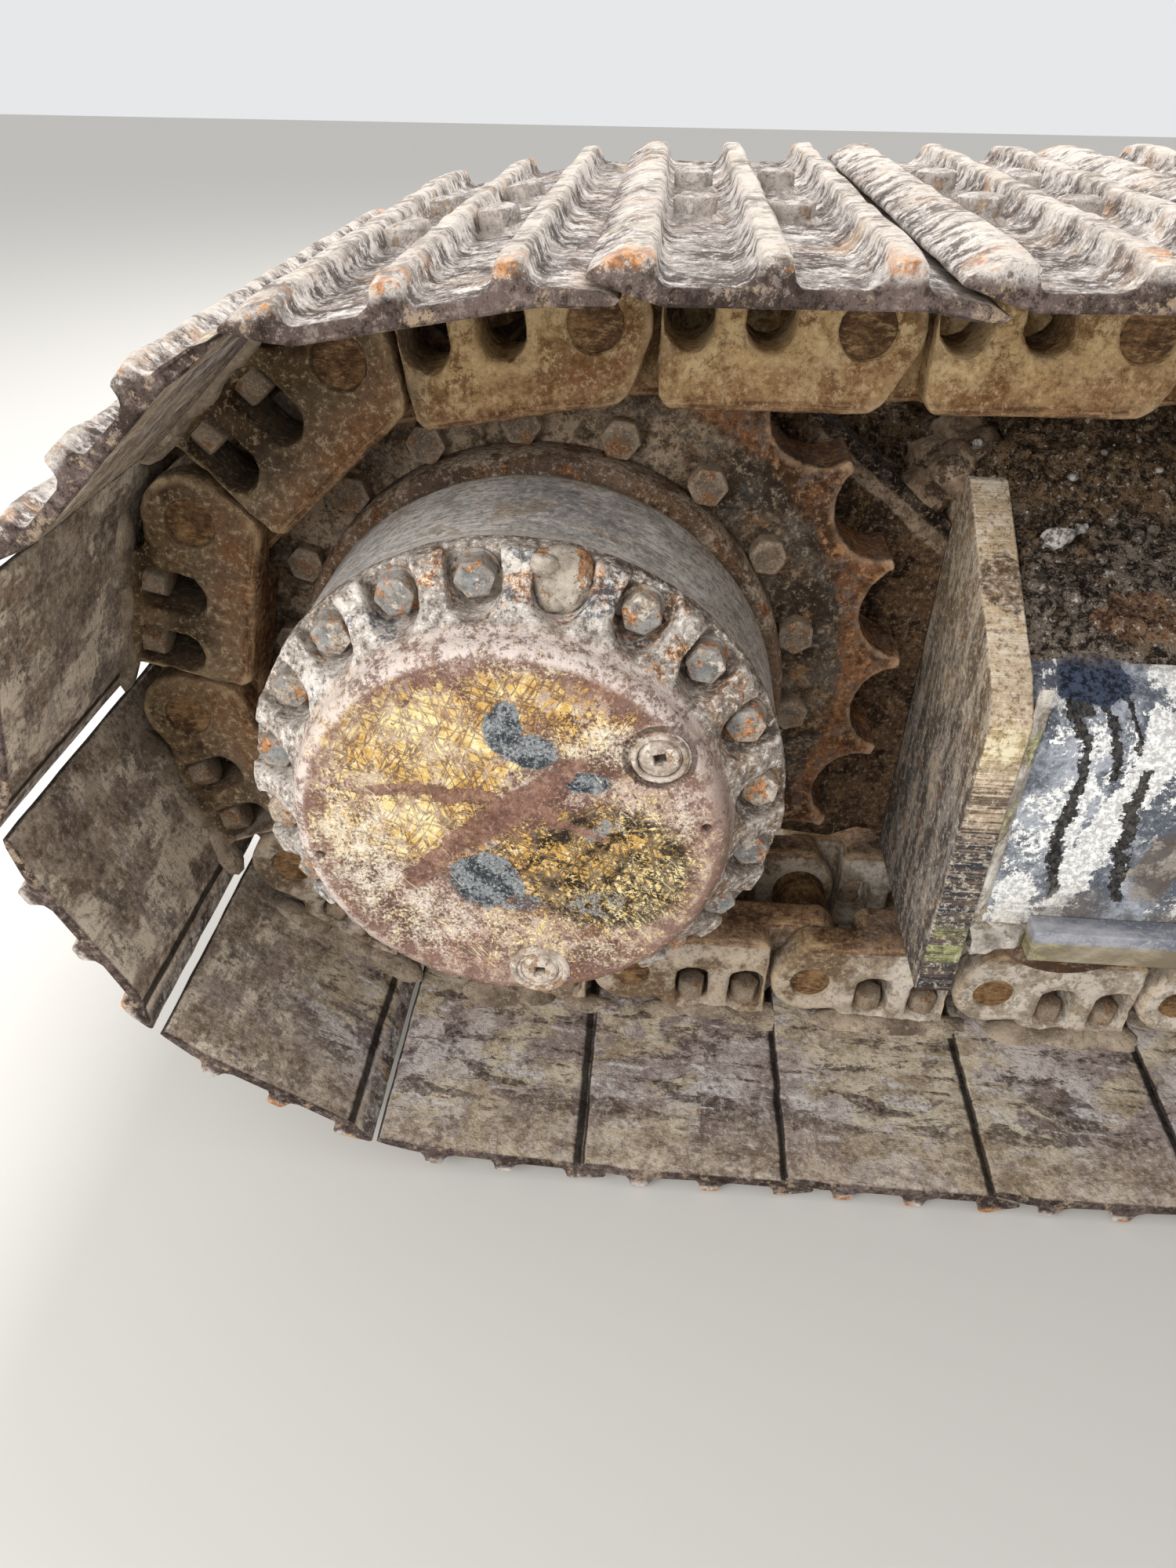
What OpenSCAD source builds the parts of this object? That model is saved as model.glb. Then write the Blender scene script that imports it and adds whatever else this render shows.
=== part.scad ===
// Track unit of a crawler excavator: one side frame with its final drive, sprocket,
// idler, rollers and track chain. It lies along X with the drive at the low-X end.
// Y runs from the outer face (negative) to the side that joins the car body (positive).
// The drive axis lies on x = 0 and the chain's middle on y = 0 in every sub-part;
// placed() then moves the whole unit so that the middle of its footprint is the origin.

/* [Track chain] */
// Distance between two neighbouring track pins
track_pitch = 216; // [212:1:220]
// Number of links and shoes in the closed track
link_count = 45; // [43:2:51]
// Place of the first pin past the top of the sprocket, as a share of the pitch
pin_phase = 0.25; // [0.25:0.5:0.75]
// Width of a shoe
shoe_w = 700; // [600:10:800]
// Thickness of the shoe plate
shoe_t = 11; // [9:1:14]
// Worn height of the three grousers above the plate
grouser_h = 21; // [10:1:28]
// Distance from the pin line to the face that carries the shoe
pad_h = 60; // [58:1:64]
// Distance from the pin line to the rail that the rollers run on
rail_h = 66; // [64:1:70]
// Distance between the outer faces of the two link rows
chain_w = 240; // [236:2:260]
// Thickness of one link's end
link_t = 35; // [30:1:36]
// Radius of a link's boss around its pin
boss_r = 47; // [44:1:50]
// Radius of a track pin
pin_r = 22.5; // [20:0.5:24]
// Radius of a bushing
bush_r = 33; // [31:0.5:34]

/* [Sprocket and final drive] */
// Number of teeth; the chain sits in every second gap
tooth_count = 21; // [19:2:23]
// Width of the teeth
tooth_w = 76; // [60:2:84]
// Radius of the worn gap between two teeth
gap_r = 51; // [46:1:52]
// Depth of the gap's bottom below the pitch circle
gap_depth = 36; // [35:1:40]
// Radius of the raised bolt flange
flange_r = 308; // [300:1:312]
// Radius of the sprocket's bolt circle
sprocket_bolt_r = 264; // [262:1:270]
// Radius of the gear housing
housing_r = 235; // [225:1:238]
// Outer end of the gear housing, from the chain's middle
housing_end = 240; // [225:1:255]
// Distance from the chain's middle to the face of the cover
cover_face = 328; // [318:1:340]
// Radius of the cover's bolt circle
cover_bolt_r = 214; // [212:0.5:216]
// Number of bolt pockets in the cover
cover_bolts = 20; // [16:2:22]
// Radius of one bolt pocket
pocket_r = 22.5; // [20:0.5:23]
// Radius of the cover's raised disc
disc_r = 187; // [182:1:188]

/* [Rollers and idler] */
// Number of bottom rollers
roller_count = 8; // [6:1:8]
// Radius of a bottom roller's tread
roller_r = 80; // [74:1:86]
// Radius of a carrier roller's tread
carrier_r = 64; // [56:1:66]
// Distance from each axle to its carrier roller
carrier_x = 1090; // [1040:5:1150]
// Height of the carrier rollers' line above the line over the two axles
carrier_rise = 24; // [12:1:40]
// Height of a carrier roller's axis over the frame's ridge
carrier_post = 78; // [76:1:90]
// Sag of the chain between the carrier rollers
chain_sag = 12; // [4:1:20]
// Width of the idler's rim between its shoulders
idler_w = 88; // [70:2:90]

/* [Side frame] */
// Plate of the side frame
frame_t = 15; // [10:1:20]
// Distance from the drive axis to the thick end plate
end_plate_x = 420; // [412:1:440]
// Thickness of the end plate
end_plate_t = 40; // [30:1:50]
// Outer face of the side frame, from the chain's middle
frame_out = 180; // [170:1:190]
// Inner face of the side frame, from the chain's middle
frame_in = 190; // [180:1:210]
// Height of the frame's lower edge over the ground
frame_low = 238; // [225:1:245]
// Height of the outer shoulder, where the top plate starts to slope
frame_shoulder = 498; // [480:1:505]
// Step from the frame's top up to the end plate's edge
end_plate_step = 18; // [10:1:30]
// Distance from the drive axis to the frame's far end, short of the idler axis
frame_gap = 620; // [600:5:680]

/* [Leg pads] */
// Distance from the chain's middle to the bolting face of the two pads
pad_y = 470; // [440:1:520]
// Length of a pad
pad_len = 560; // [540:5:620]
// Height of a pad
pad_tall = 330; // [320:1:345]
// Thickness of a pad
pad_t = 30; // [25:1:40]
// Radius of a pad's bolt holes
pad_hole_r = 17; // [13:0.5:18]
// Length between the outer bolts
pad_bolt_x = 480; // [440:5:500]
// Length between the inner bolts
pad_bolt_in = 160; // [120:5:200]
// Height between the two bolt rows
pad_bolt_z = 250; // [220:5:260]
// Distance from the drive axis to the rear pad's middle
rear_pad_x = 1120; // [1000:5:1250]
// Distance from the idler axis to the front pad's middle
front_pad_x = 1120; // [1000:5:1250]

/* [Hidden] */
$fn = 48;
ROUND = 64;                       // facets asked for on large round parts
gap = 2;                          // running clearance between neighbouring pieces
fit = 0.3;                        // clearance of a seat
pin_fit = 0.5;                    // clearance of a track pin in a link's end

// Track path. Angles are in degrees, s is the way along the pitch line.
engaged = tooth_count / 2;                          // chain pitches in one full turn
wrap_step = 360 / engaged;                          // turn of one pitch on the sprocket
wrap_r = track_pitch / 2 / sin(wrap_step / 2);      // radius of the pitch circle
axle_z = wrap_r + pad_h + shoe_t + grouser_h;       // height of both axles over the ground
top_z = axle_z + wrap_r;
low_z = axle_z - wrap_r;
rise_r = (pow(carrier_x, 2) + pow(carrier_rise, 2)) / (2 * carrier_rise);
rise_a = asin(carrier_x / rise_r);
rise_s = rise_r * rise_a * PI / 180;
wrap_s = engaged / 2 * track_pitch;
axle_guess = ((link_count - engaged) * track_pitch - 2 * rise_s + 2 * carrier_x) / 2;
sag_extra = 8 * pow(chain_sag, 2) / 3 / (axle_guess - 2 * carrier_x);
idler_x = axle_guess - sag_extra / 2;               // distance between the two axles
mid_len = idler_x - 2 * carrier_x;
mid_s = mid_len + sag_extra;
s1 = rise_s;
s2 = s1 + mid_s;
s3 = s2 + rise_s;
s4 = s3 + wrap_s;
s5 = s4 + idler_x;
loop_s = s5 + wrap_s;

function path(s) =
  s < s1 ? let(a = s / rise_r * 180 / PI) [rise_r * sin(a), top_z + rise_r * (1 - cos(a))] :
  s < s2 ? let(t = (s - s1) / mid_s * 2 - 1)
    [carrier_x + mid_len * (t + 1) / 2, top_z + carrier_rise - chain_sag * (1 - t * t)] :
  s < s3 ? let(a = (s3 - s) / rise_r * 180 / PI)
    [idler_x - rise_r * sin(a), top_z + rise_r * (1 - cos(a))] :
  s < s4 ? let(a = 90 - (s - s3) / track_pitch * wrap_step)
    [idler_x + wrap_r * cos(a), axle_z + wrap_r * sin(a)] :
  s < s5 ? [idler_x - (s - s4), low_z] :
  let(a = 270 - (s - s5) / track_pitch * wrap_step) [wrap_r * cos(a), axle_z + wrap_r * sin(a)];

function pin_at(k) = path(((k + pin_phase) * track_pitch) % loop_s);
pins = [for (k = [0 : link_count]) pin_at(k % link_count)];
mids = [for (k = [0 : link_count - 1]) (pins[k] + pins[k + 1]) / 2];
turns = [for (k = [0 : link_count - 1])
  atan2(pins[k + 1][1] - pins[k][1], pins[k + 1][0] - pins[k][0])];

// A shoe's cross-section: along the chain, then outwards from the pin line.
half = track_pitch / 2;
plate_z = pad_h + shoe_t;
tip_z = plate_z + grouser_h;
shoe_back = -half + 8;            // raised edge that covers the lip of the shoe behind
shoe_lip = half + 40;             // lip that reaches under the next shoe
grouser_us = [shoe_back + 31, 11, half - 22];
shoe_section = concat(
  [[shoe_back, pad_h + 15], [shoe_back + 2, pad_h + 20], [shoe_back + 19, tip_z - 2], [shoe_back + 25, tip_z],
   [shoe_back + 38, tip_z], [shoe_back + 42, tip_z - 3], [shoe_back + 44, plate_z + 5], [shoe_back + 48, plate_z]],
  [for (u = [grouser_us[1], grouser_us[2]], p = [[-22, 0], [-15, 4], [-11, grouser_h / 2],
   [-9, grouser_h - 2], [-6, grouser_h], [6, grouser_h], [9, grouser_h - 3], [11, 5], [15, 0]]) [u + p[0], plate_z + p[1]]],
  [[half + 2, plate_z - 1], [half + 28, pad_h + 4], [shoe_lip, pad_h - 2],
   [half + 36, pad_h - 5], [half + 14, pad_h - 4], [half - 6, pad_h],
   [shoe_back + 48, pad_h], [shoe_back + 30, pad_h + 4], [shoe_back + 10, pad_h + 11]]
);

// Places that several sub-parts share
link_in = chain_w / 2 - 2 * link_t - gap;           // inner face of a link row
flange_y = tooth_w / 2 + 6;                         // outer face of the sprocket's flange
base_r = housing_r + 9;
base_y = flange_y + 44;
mount_y = [60, 104];                                // the drive's mounting plate, outer and inner face
motor_y = 300;                                      // inner end of the travel motor
rail_top = low_z + rail_h;
roller_z = rail_top + roller_r + fit;
floor_z = roller_z + roller_r + 40;                            // underside of the frame's floor
frame_x0 = end_plate_x + end_plate_t;
frame_x1 = idler_x - frame_gap;
guard_z = [low_z + 46, frame_low - fit];
ledge_z = [frame_low, frame_low + 40];
carrier_z = top_z + carrier_rise - rail_h - carrier_r - 3;
frame_ridge = carrier_z - carrier_post;
leg_z = [frame_low + 30, frame_ridge - 30];     // leg where it meets the frame
pad_z = frame_low + 183;
idler_rim_r = wrap_r * cos(wrap_step / 2) - rail_h;

// The footprint's middle becomes the origin.
shoe_xs = [for (k = [0 : link_count - 1], p = shoe_section)
  mids[k][0] + p[0] * cos(turns[k]) - p[1] * sin(turns[k])];
mid_x = (min(shoe_xs) + max(shoe_xs)) / 2;
mid_y = (pad_y - shoe_w / 2) / 2;

module placed() { translate([-mid_x, -mid_y, 0]) children(); }

// Draws a shape given along the chain and outwards on every link, between two widths.
module on_links(y0, y1) {
  for (k = [0 : link_count - 1])
    translate([mids[k][0], 0, mids[k][1]]) rotate([0, -turns[k], 0])
      span_y(y0, y1) children();
}

// Extrudes an X-Z outline from y0 to y1.
module span_y(y0, y1) {
  translate([0, y1, 0]) rotate([90, 0, 0]) linear_extrude(y1 - y0) children();
}

// Extrudes a Y-Z outline from x0 to x1.
module span_x(x0, x1) {
  translate([x0, 0, 0]) rotate([90, 0, 90]) linear_extrude(x1 - x0) children();
}

// A round part about an axis along Y: the profile is radius, then distance along Y.
module turned(x, z) {
  translate([x, 0, z]) rotate([-90, 0, 0]) rotate_extrude($fn = ROUND) children();
}

module cyl_y(x, z, r, y0, y1) {
  translate([x, y0, z]) rotate([-90, 0, 0]) cylinder(h = y1 - y0, r = r);
}

module track_shoes() {
  color([0.36, 0.31, 0.27]) placed()
    on_links(-shoe_w / 2, shoe_w / 2) polygon(shoe_section);
}

// The end of a link that lies on the outside of the chain, past the shoulder.
module link_outer_2d() {
  difference() {
    union() {
      translate([half, 0]) circle(r = boss_r);
      polygon([[-half + 48, pad_h - fit], [half - 46, pad_h - fit], [half - 32, 43], [half - 10, 45],
        [half + 42, -8], [half + 33, -38], [half + 20, -rail_h + 8], [half + 10, -rail_h],
        [-half + 60, -rail_h], [-half + 52, -rail_h + 12], [-half + 53, 20]]);
    }
    link_windows();
    translate([half, 0]) circle(r = pin_r + pin_fit);
  }
}

// The end that lies inside the outer end of the link behind.
module link_inner_2d() {
  difference() {
    union() {
      translate([-half, 0]) circle(r = boss_r);
      polygon([[-half + 10, 45], [-half + 32, 43], [-half + 46, pad_h - fit], [half - 48, pad_h - fit],
        [half - 53, 20], [half - 52, -rail_h + 12], [half - 60, -rail_h], [-half - 10, -rail_h],
        [-half - 20, -rail_h + 8], [-half - 33, -38], [-half - 42, -8]]);
    }
    link_windows();
    translate([-half, 0]) circle(r = pin_r + pin_fit);
  }
}

// The two openings that give room for the shoe's nuts.
module link_windows() {
  for (u = [-32, 32]) {
    translate([u, window_r - 18]) circle(r = window_r);
    translate([u - window_r, window_r - 18]) square([2 * window_r, pad_h - 12 - window_r + 18]);
  }
}

window_r = 20;

module link_row(side) {
  out = chain_w / 2;
  mid = out - link_t - gap / 2;
  placed() mirror([0, side > 0 ? 1 : 0, 0]) {
    on_links(-out, -mid - gap / 2) link_outer_2d();
    on_links(-mid - gap / 2, -mid + gap / 2) intersection() {
      link_outer_2d();
      link_inner_2d();
    }
    on_links(-mid + gap / 2, -link_in) link_inner_2d();
  }
}

module track_links_outer() { color([0.42, 0.33, 0.22]) link_row(-1); }
module track_links_inner() { color([0.42, 0.33, 0.22]) link_row(1); }

module track_pins() {
  color([0.30, 0.24, 0.20]) placed() for (k = [0 : link_count - 1]) {
    cyl_y(pins[k][0], pins[k][1], pin_r, -chain_w / 2 + 4, chain_w / 2 - 4);
    cyl_y(pins[k][0], pins[k][1], bush_r, -link_in + fit, link_in - fit);
  }
}

// Teeth with the wide gaps of a worn sprocket. The gaps line up with the pins.
module sprocket() {
  seat_a = 90 + (1 - pin_phase) * wrap_step;
  color([0.47, 0.29, 0.17]) placed() {
    difference() {
      union() {
        cyl_y(0, axle_z, wrap_r + 6, -tooth_w / 2, tooth_w / 2, $fn = ROUND);
        cyl_y(0, axle_z, flange_r, -flange_y, 0, $fn = ROUND);
      }
      for (i = [0 : tooth_count - 1]) let(a = seat_a + i * 360 / tooth_count)
        cyl_y((wrap_r - gap_depth + gap_r) * cos(a), axle_z + (wrap_r - gap_depth + gap_r) * sin(a),
          gap_r, -tooth_w, tooth_w);
      cyl_y(0, axle_z, housing_r - 6, -tooth_w, tooth_w, $fn = ROUND);
      cyl_y(0, axle_z, flange_r - 12, tooth_w / 2 - 22, tooth_w, $fn = ROUND);
    }
  }
}

// The turning hub that carries the sprocket; it is seen through the ring of teeth.
module drive_hub() {
  color([0.33, 0.27, 0.22]) placed() turned(0, axle_z) polygon([
    [spindle_r + fit, -base_y], [base_r, -base_y], [base_r + 4, -base_y + 10], [base_r + 4, -flange_y - fit],
    [housing_r - 6 - fit, -flange_y - fit], [housing_r - 6 - fit, tooth_w / 2 - 30], [206, tooth_w / 2 - 4],
    [206, mount_y[0] - gap], [spindle_r + fit, mount_y[0] - gap]]);
}
spindle_r = 130;                  // bearing seat of the hub on the motor's spindle

module gear_housing() {
  color([0.44, 0.42, 0.40]) placed() turned(0, axle_z) polygon([
    [150, -housing_end], [housing_r, -housing_end], [housing_r, -base_y - 16],
    [housing_r - 4, -base_y - 10], [housing_r - 4, -base_y - fit], [150, -base_y - fit]]);
}

// The cover's rim falls away around each bolt and leaves a web between two pockets.
module drive_cover() {
  rim_r = housing_r + 3;
  color([0.62, 0.55, 0.38]) placed() difference() {
    turned(0, axle_z) polygon([
      [0, -cover_face], [disc_r - 12, -cover_face], [disc_r - 6, -cover_face + 3],
      [disc_r - 1, -cover_face + 10], [disc_r, -cover_face + 18], [disc_r + 3, -cover_face + 24],
      [rim_r - 12, -housing_end - 34], [rim_r - 2, -housing_end - 30], [rim_r, -housing_end - 26],
      [rim_r, -housing_end - fit], [0, -housing_end - fit]]);
    for (i = [0 : cover_bolts - 1]) let(a = 7 + i * 360 / cover_bolts)
      translate([0, 0, axle_z]) rotate([0, -a, 0]) span_y(-cover_face - 1, -housing_end - 14) {
        translate([cover_bolt_r, 0]) circle(r = pocket_r);
        translate([cover_bolt_r, -pocket_r]) square([60, 2 * pocket_r]);
      }
    for (a = plug_as)
      cyl_y(plug_r * cos(a), axle_z + plug_r * sin(a), 21, -cover_face - 1, -cover_face + 8);
    for (a = [8, 190])
      cyl_y((disc_r - 19) * cos(a), axle_z + (disc_r - 19) * sin(a), 5, -cover_face - 1, -cover_face + 12);
  }
}
plug_as = [35, -82];              // level plug and drain plug
plug_r = 148;

module cover_plugs() {
  color([0.55, 0.47, 0.36]) placed() for (a = plug_as)
    difference() {
      cyl_y(plug_r * cos(a), axle_z + plug_r * sin(a), 17, -cover_face - 3, -cover_face + 8 - fit);
      cyl_y(plug_r * cos(a), axle_z + plug_r * sin(a), 8, -cover_face - 4, -cover_face + 4, $fn = 6);
    }
}

// The plate between the frame and the drive, with a round end about the drive axis.
module drive_mount() {
  r = 274;
  color([0.36, 0.27, 0.20]) placed()
    span_y(mount_y[0], mount_y[1]) translate([0, axle_z]) difference() {
      polygon(concat([for (a = [68 : 8 : 300]) [r * cos(a), r * sin(a)]],
        [[250, -272], [352, -282], [384, -266], [402, -268], [end_plate_x - fit, -282],
         [end_plate_x - fit, 142], [392, 158], [346, 194], [298, 231], [240, 260], [170, 274]]));
      circle(r = 196, $fn = ROUND);
    }
}

module travel_motor() {
  color([0.22, 0.21, 0.20]) placed() difference() {
    union() {
      turned(0, axle_z) polygon([[0, -base_y + 4], [spindle_r, -base_y + 4],
        [spindle_r, mount_y[0] + gap], [196 - fit, mount_y[0] + gap],
        [196 - fit, mount_y[1] + fit], [226, mount_y[1] + fit], [226, mount_y[1] + 28],
        [150, mount_y[1] + 36], [132, mount_y[1] + 56], [132, motor_y - 52], [118, motor_y - 40],
        [0, motor_y - 40]]);
      translate([-95, motor_y - 70, axle_z - 80]) cube([190, 70, 160]);
      translate([-95, mount_y[1] + 40, axle_z + 60]) cube([190, motor_y - mount_y[1] - 70, 80]);
    }
    for (x = [-38, 38]) cyl_y(x, axle_z + 30, port_r, motor_y - 45, motor_y + 1);
  }
}
port_r = 13;

// Hose unions for the two work lines and the drain line.
module motor_ports() {
  color([0.30, 0.29, 0.28]) placed() {
    for (x = [-60, 60]) translate([x, motor_y - 110, axle_z + 140 + fit])
      cylinder(h = 34, r = 17, $fn = 6);
    translate([0, motor_y - 130, axle_z + 140 + fit]) cylinder(h = 22, r = 11, $fn = 6);
  }
}

// Plate hood over the motor, open below and towards the car body.
module motor_guard() {
  color([0.28, 0.24, 0.20]) placed()
    span_y(chain_w / 2 + 6, motor_y + 40) translate([0, axle_z])
      polygon([[-256, -150], [-256, 120], [-140, 248], [190, 248], [end_plate_x - fit, 160],
        [end_plate_x - fit, 142], [186, 232], [-133, 232], [-240, 113], [-240, -150]]);
}

// Box beam with a top plate that slopes outwards and sides that hang below the floor.
module side_frame() {
  o = frame_out;
  i = frame_in;
  t = frame_t;
  color([0.40, 0.39, 0.38]) placed() difference() {
    span_x(frame_x0 + fit, frame_x1) difference() {
      polygon([[-o, frame_low], [-o, frame_shoulder], [-o + 24, frame_shoulder + 26],
        [ridge_y, frame_ridge], [i - 12, frame_ridge], [i, frame_ridge - 12], [i, frame_low],
        [i - t, frame_low], [i - t, floor_z], [-o + t, floor_z], [-o + t, frame_low]]);
      polygon([[-o + t, floor_z + t], [-o + t, frame_shoulder - 7], [-o + 31, frame_shoulder + 12],
        [ridge_y + 4, frame_ridge - t], [i - t, frame_ridge - t], [i - t, floor_z + t]]);
    }
    translate([cover_x, -o - 1, cover_z]) rotate([-90, 0, 0]) cylinder(h = t + 2, r = 62);
  }
}
ridge_y = 56;                    // outer edge of the flat strip on the frame's top
cover_x = frame_x1 - 420;
cover_z = frame_low + 188;

module access_cover() {
  color([0.45, 0.38, 0.22]) placed()
    cyl_y(cover_x, cover_z, 86, -frame_out - 8, -frame_out - fit);
}

// Thick transverse plate that closes the frame behind the sprocket.
module end_plate() {
  o = frame_out + 10;
  step = frame_ridge + end_plate_step;
  color([0.45, 0.38, 0.30]) placed() span_x(end_plate_x, frame_x0) polygon([
    [-o, rail_top + 8], [-o, frame_shoulder + 12], [-o + 6, frame_shoulder + 24], [-o + 32, frame_shoulder + 47],
    [ridge_y - 16, step], [322, step], [340, step - 18], [340, frame_low + 40], [frame_in, rail_top + 8]]);
}

// Two flanges under the floor that the roller brackets are bolted to.
module roller_rails() {
  color([0.34, 0.32, 0.30]) placed() for (y = [-frame_out + frame_t + fit, frame_in - frame_t - fit - rail_w])
    translate([frame_x0 + 40, y, floor_z - 18]) cube([frame_x1 - frame_x0 - 60, rail_w, 18 - fit]);
}

rail_w = 60;                      // width of a bolting flange

// Guards below the frame's edge that keep the chain in line, in the middle and near the
// idler. Their lower corners are cut off.
module guide_plates(y0, y1) {
  for (x = [(frame_x0 + frame_x1) / 2, frame_x1 - guard_len / 2 - 30])
    guide_plate(x - guard_len / 2, x + guard_len / 2, y0, y1);
}
guard_len = 520;

module guide_plate(x0, x1, y0, y1) {
  span_y(y0, y1) difference() {
    translate([x0, guard_z[0]]) square([x1 - x0, guard_z[1] - guard_z[0]]);
    for (x = [x0, x1]) translate([x, guard_z[0]]) rotate(45) square([44, 44], center = true);
  }
}

module outer_guard() {
  color([0.50, 0.49, 0.42]) placed()
    guide_plates(-frame_out, -frame_out + frame_t + 5);
}

module inner_guard() {
  color([0.42, 0.38, 0.32]) placed()
    guide_plates(frame_in - frame_t - 5, frame_in);
}

module side_ledge() {
  color([0.17, 0.19, 0.24]) placed()
    translate([frame_x0 + 58, -frame_out - ledge_w, ledge_z[0]])
      cube([frame_x1 - frame_x0 - 120, ledge_w - fit, ledge_z[1] - ledge_z[0]]);
}

ledge_w = 28;                     // how far the ledge stands out

module tie_down_eye() {
  color([0.36, 0.28, 0.20]) placed() span_y(eye_y - 15, eye_y + 15) translate([eye_x, eye_z])
    difference() {
      polygon(concat([for (a = [-40 : 10 : 220]) 62 * [cos(a), sin(a)]], [[-66, -70], [66, -70]]));
      circle(r = eye_r);
    }
}
eye_x = end_plate_x + end_plate_t / 2;
eye_y = frame_in + 60;
eye_z = frame_ridge + end_plate_step + fit + 70;
eye_r = 35;

// Fork at the far end that the idler's blocks slide in, with a guide bar above and below
// each slot and a plate that closes the frame.
module front_head() {
  lo = axle_z - slot_h;
  hi = axle_z + slot_h;
  color([0.40, 0.36, 0.30]) placed() {
    for (m = [0, 1]) mirror([0, m, 0]) {
      span_y(head_y, head_y + 22) polygon([[frame_x1 + 19, frame_low + 20], [idler_x - 250, frame_low + 50],
        [idler_x - 90, lo - 34], [idler_x + 66, lo - 34], [idler_x + 84, lo - 18], [idler_x + 84, lo],
        [idler_x - 190, lo], [idler_x - 196, axle_z], [idler_x - 190, hi], [idler_x + 84, hi],
        [idler_x + 84, hi + 18], [idler_x + 66, hi + 34], [idler_x - 90, hi + 34],
        [idler_x - 330, frame_ridge - 60], [frame_x1 + 19, frame_ridge - 46]]);
      for (z = [lo - 22, hi]) translate([idler_x - 180, head_y + 21.9, z]) cube([250, 17, 22]);
    }
    span_x(frame_x1 + fit, frame_x1 + 20) polygon([[-frame_out, floor_z - 30],
      [-frame_out, frame_shoulder], [-frame_out + 24, frame_shoulder + 26], [ridge_y - 40, frame_ridge - 40],
      [frame_in, frame_ridge - 40], [frame_in, floor_z - 30]]);
  }
}
head_y = 138;                     // inner faces of the fork's two cheeks
slot_h = 66;                      // half the height of the slot

roller_xs = [for (i = [0 : roller_count - 1])
  let(a = frame_x0 + 140, b = frame_x1 - 110) a + (b - a) * i / (roller_count - 1)];

// Treads under the two rails, a flange outside each rail and a waist between.
module bottom_rollers() {
  color([0.33, 0.28, 0.24]) placed() for (x = roller_xs)
    turned(x, roller_z) polygon([
      [shaft_r + fit, -131], [62, -131], [roller_r + 14, -129], [roller_r + 18, -124], [roller_r + 16, -122],
      [roller_r, -121], [roller_r, -46], [58, -40], [58, 40], [roller_r, 46], [roller_r, 121],
      [roller_r + 16, 122], [roller_r + 18, 124], [roller_r + 14, 129], [62, 131], [shaft_r + fit, 131]]);
}
shaft_r = 33;

module roller_shafts() {
  color([0.38, 0.33, 0.28]) placed() for (x = roller_xs) {
    cyl_y(x, roller_z, shaft_r, -150, 150);
    for (m = [0, 1]) mirror([0, m, 0]) span_y(-frame_out + frame_t + 5 + fit, -132) union() {
      translate([x, roller_z]) circle(r = 44);
      translate([x - 56, roller_z]) square([112, floor_z - 18 - fit - roller_z]);
    }
  }
}

carrier_xs = [carrier_x, idler_x - carrier_x];

module carrier_rollers() {
  color([0.34, 0.30, 0.26]) placed() for (x = carrier_xs)
    turned(x, carrier_z) polygon([[0, -130], [44, -130], [carrier_r + 10, -128], [carrier_r + 12, -122],
      [carrier_r, -121], [carrier_r, -46], [46, -40], [46, 40], [carrier_r, 46], [carrier_r, 121],
      [carrier_r + 12, 122], [carrier_r + 10, 128], [38, 130], [38, 138], [0, 138]]);
}

// Split post on the frame's ridge that clamps the carrier roller's shaft.
module carrier_brackets() {
  color([0.36, 0.32, 0.28]) placed() for (x = carrier_xs) span_y(138 + fit, frame_in - 12) union() {
    translate([x, carrier_z]) circle(r = 50);
    polygon([[x - 66, frame_ridge + fit], [x - 46, carrier_z], [x + 46, carrier_z], [x + 66, frame_ridge + fit]]);
  }
}

// Rim, web and hub of the idler, with shoulders between the two link rows.
module idler() {
  r = idler_rim_r;
  w = idler_w / 2;
  color([0.35, 0.30, 0.25]) placed() turned(idler_x, axle_z) polygon([
    [42, -96], [78, -96], [92, -70], [104, -30], [r - 60, -24], [r - 30, -86], [r - fit, -98],
    [r - fit, -w - 2], [r + 16, -w], [r + 16, w], [r - fit, w + 2], [r - fit, 98], [r - 30, 86],
    [r - 60, 24], [104, 30], [92, 70], [78, 96], [42, 96]]);
}

// Bearing blocks that slide in the fork, and the shaft between them.
module idler_blocks() {
  color([0.40, 0.35, 0.28]) placed() {
    cyl_y(idler_x, axle_z, 42 - fit, -140, 140);
    for (m = [0, 1]) mirror([0, m, 0]) {
      translate([idler_x - 110, 100, axle_z - slot_h + 1]) cube([200, head_y + 40 - 100, 2 * slot_h - 2]);
      cyl_y(idler_x - 10, axle_z, 50, head_y + 39, head_y + 46);
    }
  }
}

// Rod and yoke of the recoil spring, where it comes out of the frame.
module recoil_rod() {
  color([0.32, 0.30, 0.28]) placed() {
    translate([idler_x - idler_rim_r - 90, -head_y + 2, axle_z - 50]) cube([60, 2 * head_y - 4, 100]);
    for (y = [[-head_y + 2, -104], [104, head_y - 2]])
      translate([idler_x - idler_rim_r - 40, y[0], axle_z - 40])
        cube([idler_rim_r + 40 - 110 - fit, y[1] - y[0], 80]);
    translate([frame_x1 + 20 + fit, 0, axle_z]) rotate([0, 90, 0])
      cylinder(h = idler_x - idler_rim_r - 90 - frame_x1 - 20 - 2 * fit, r = 45);
  }
}

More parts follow.
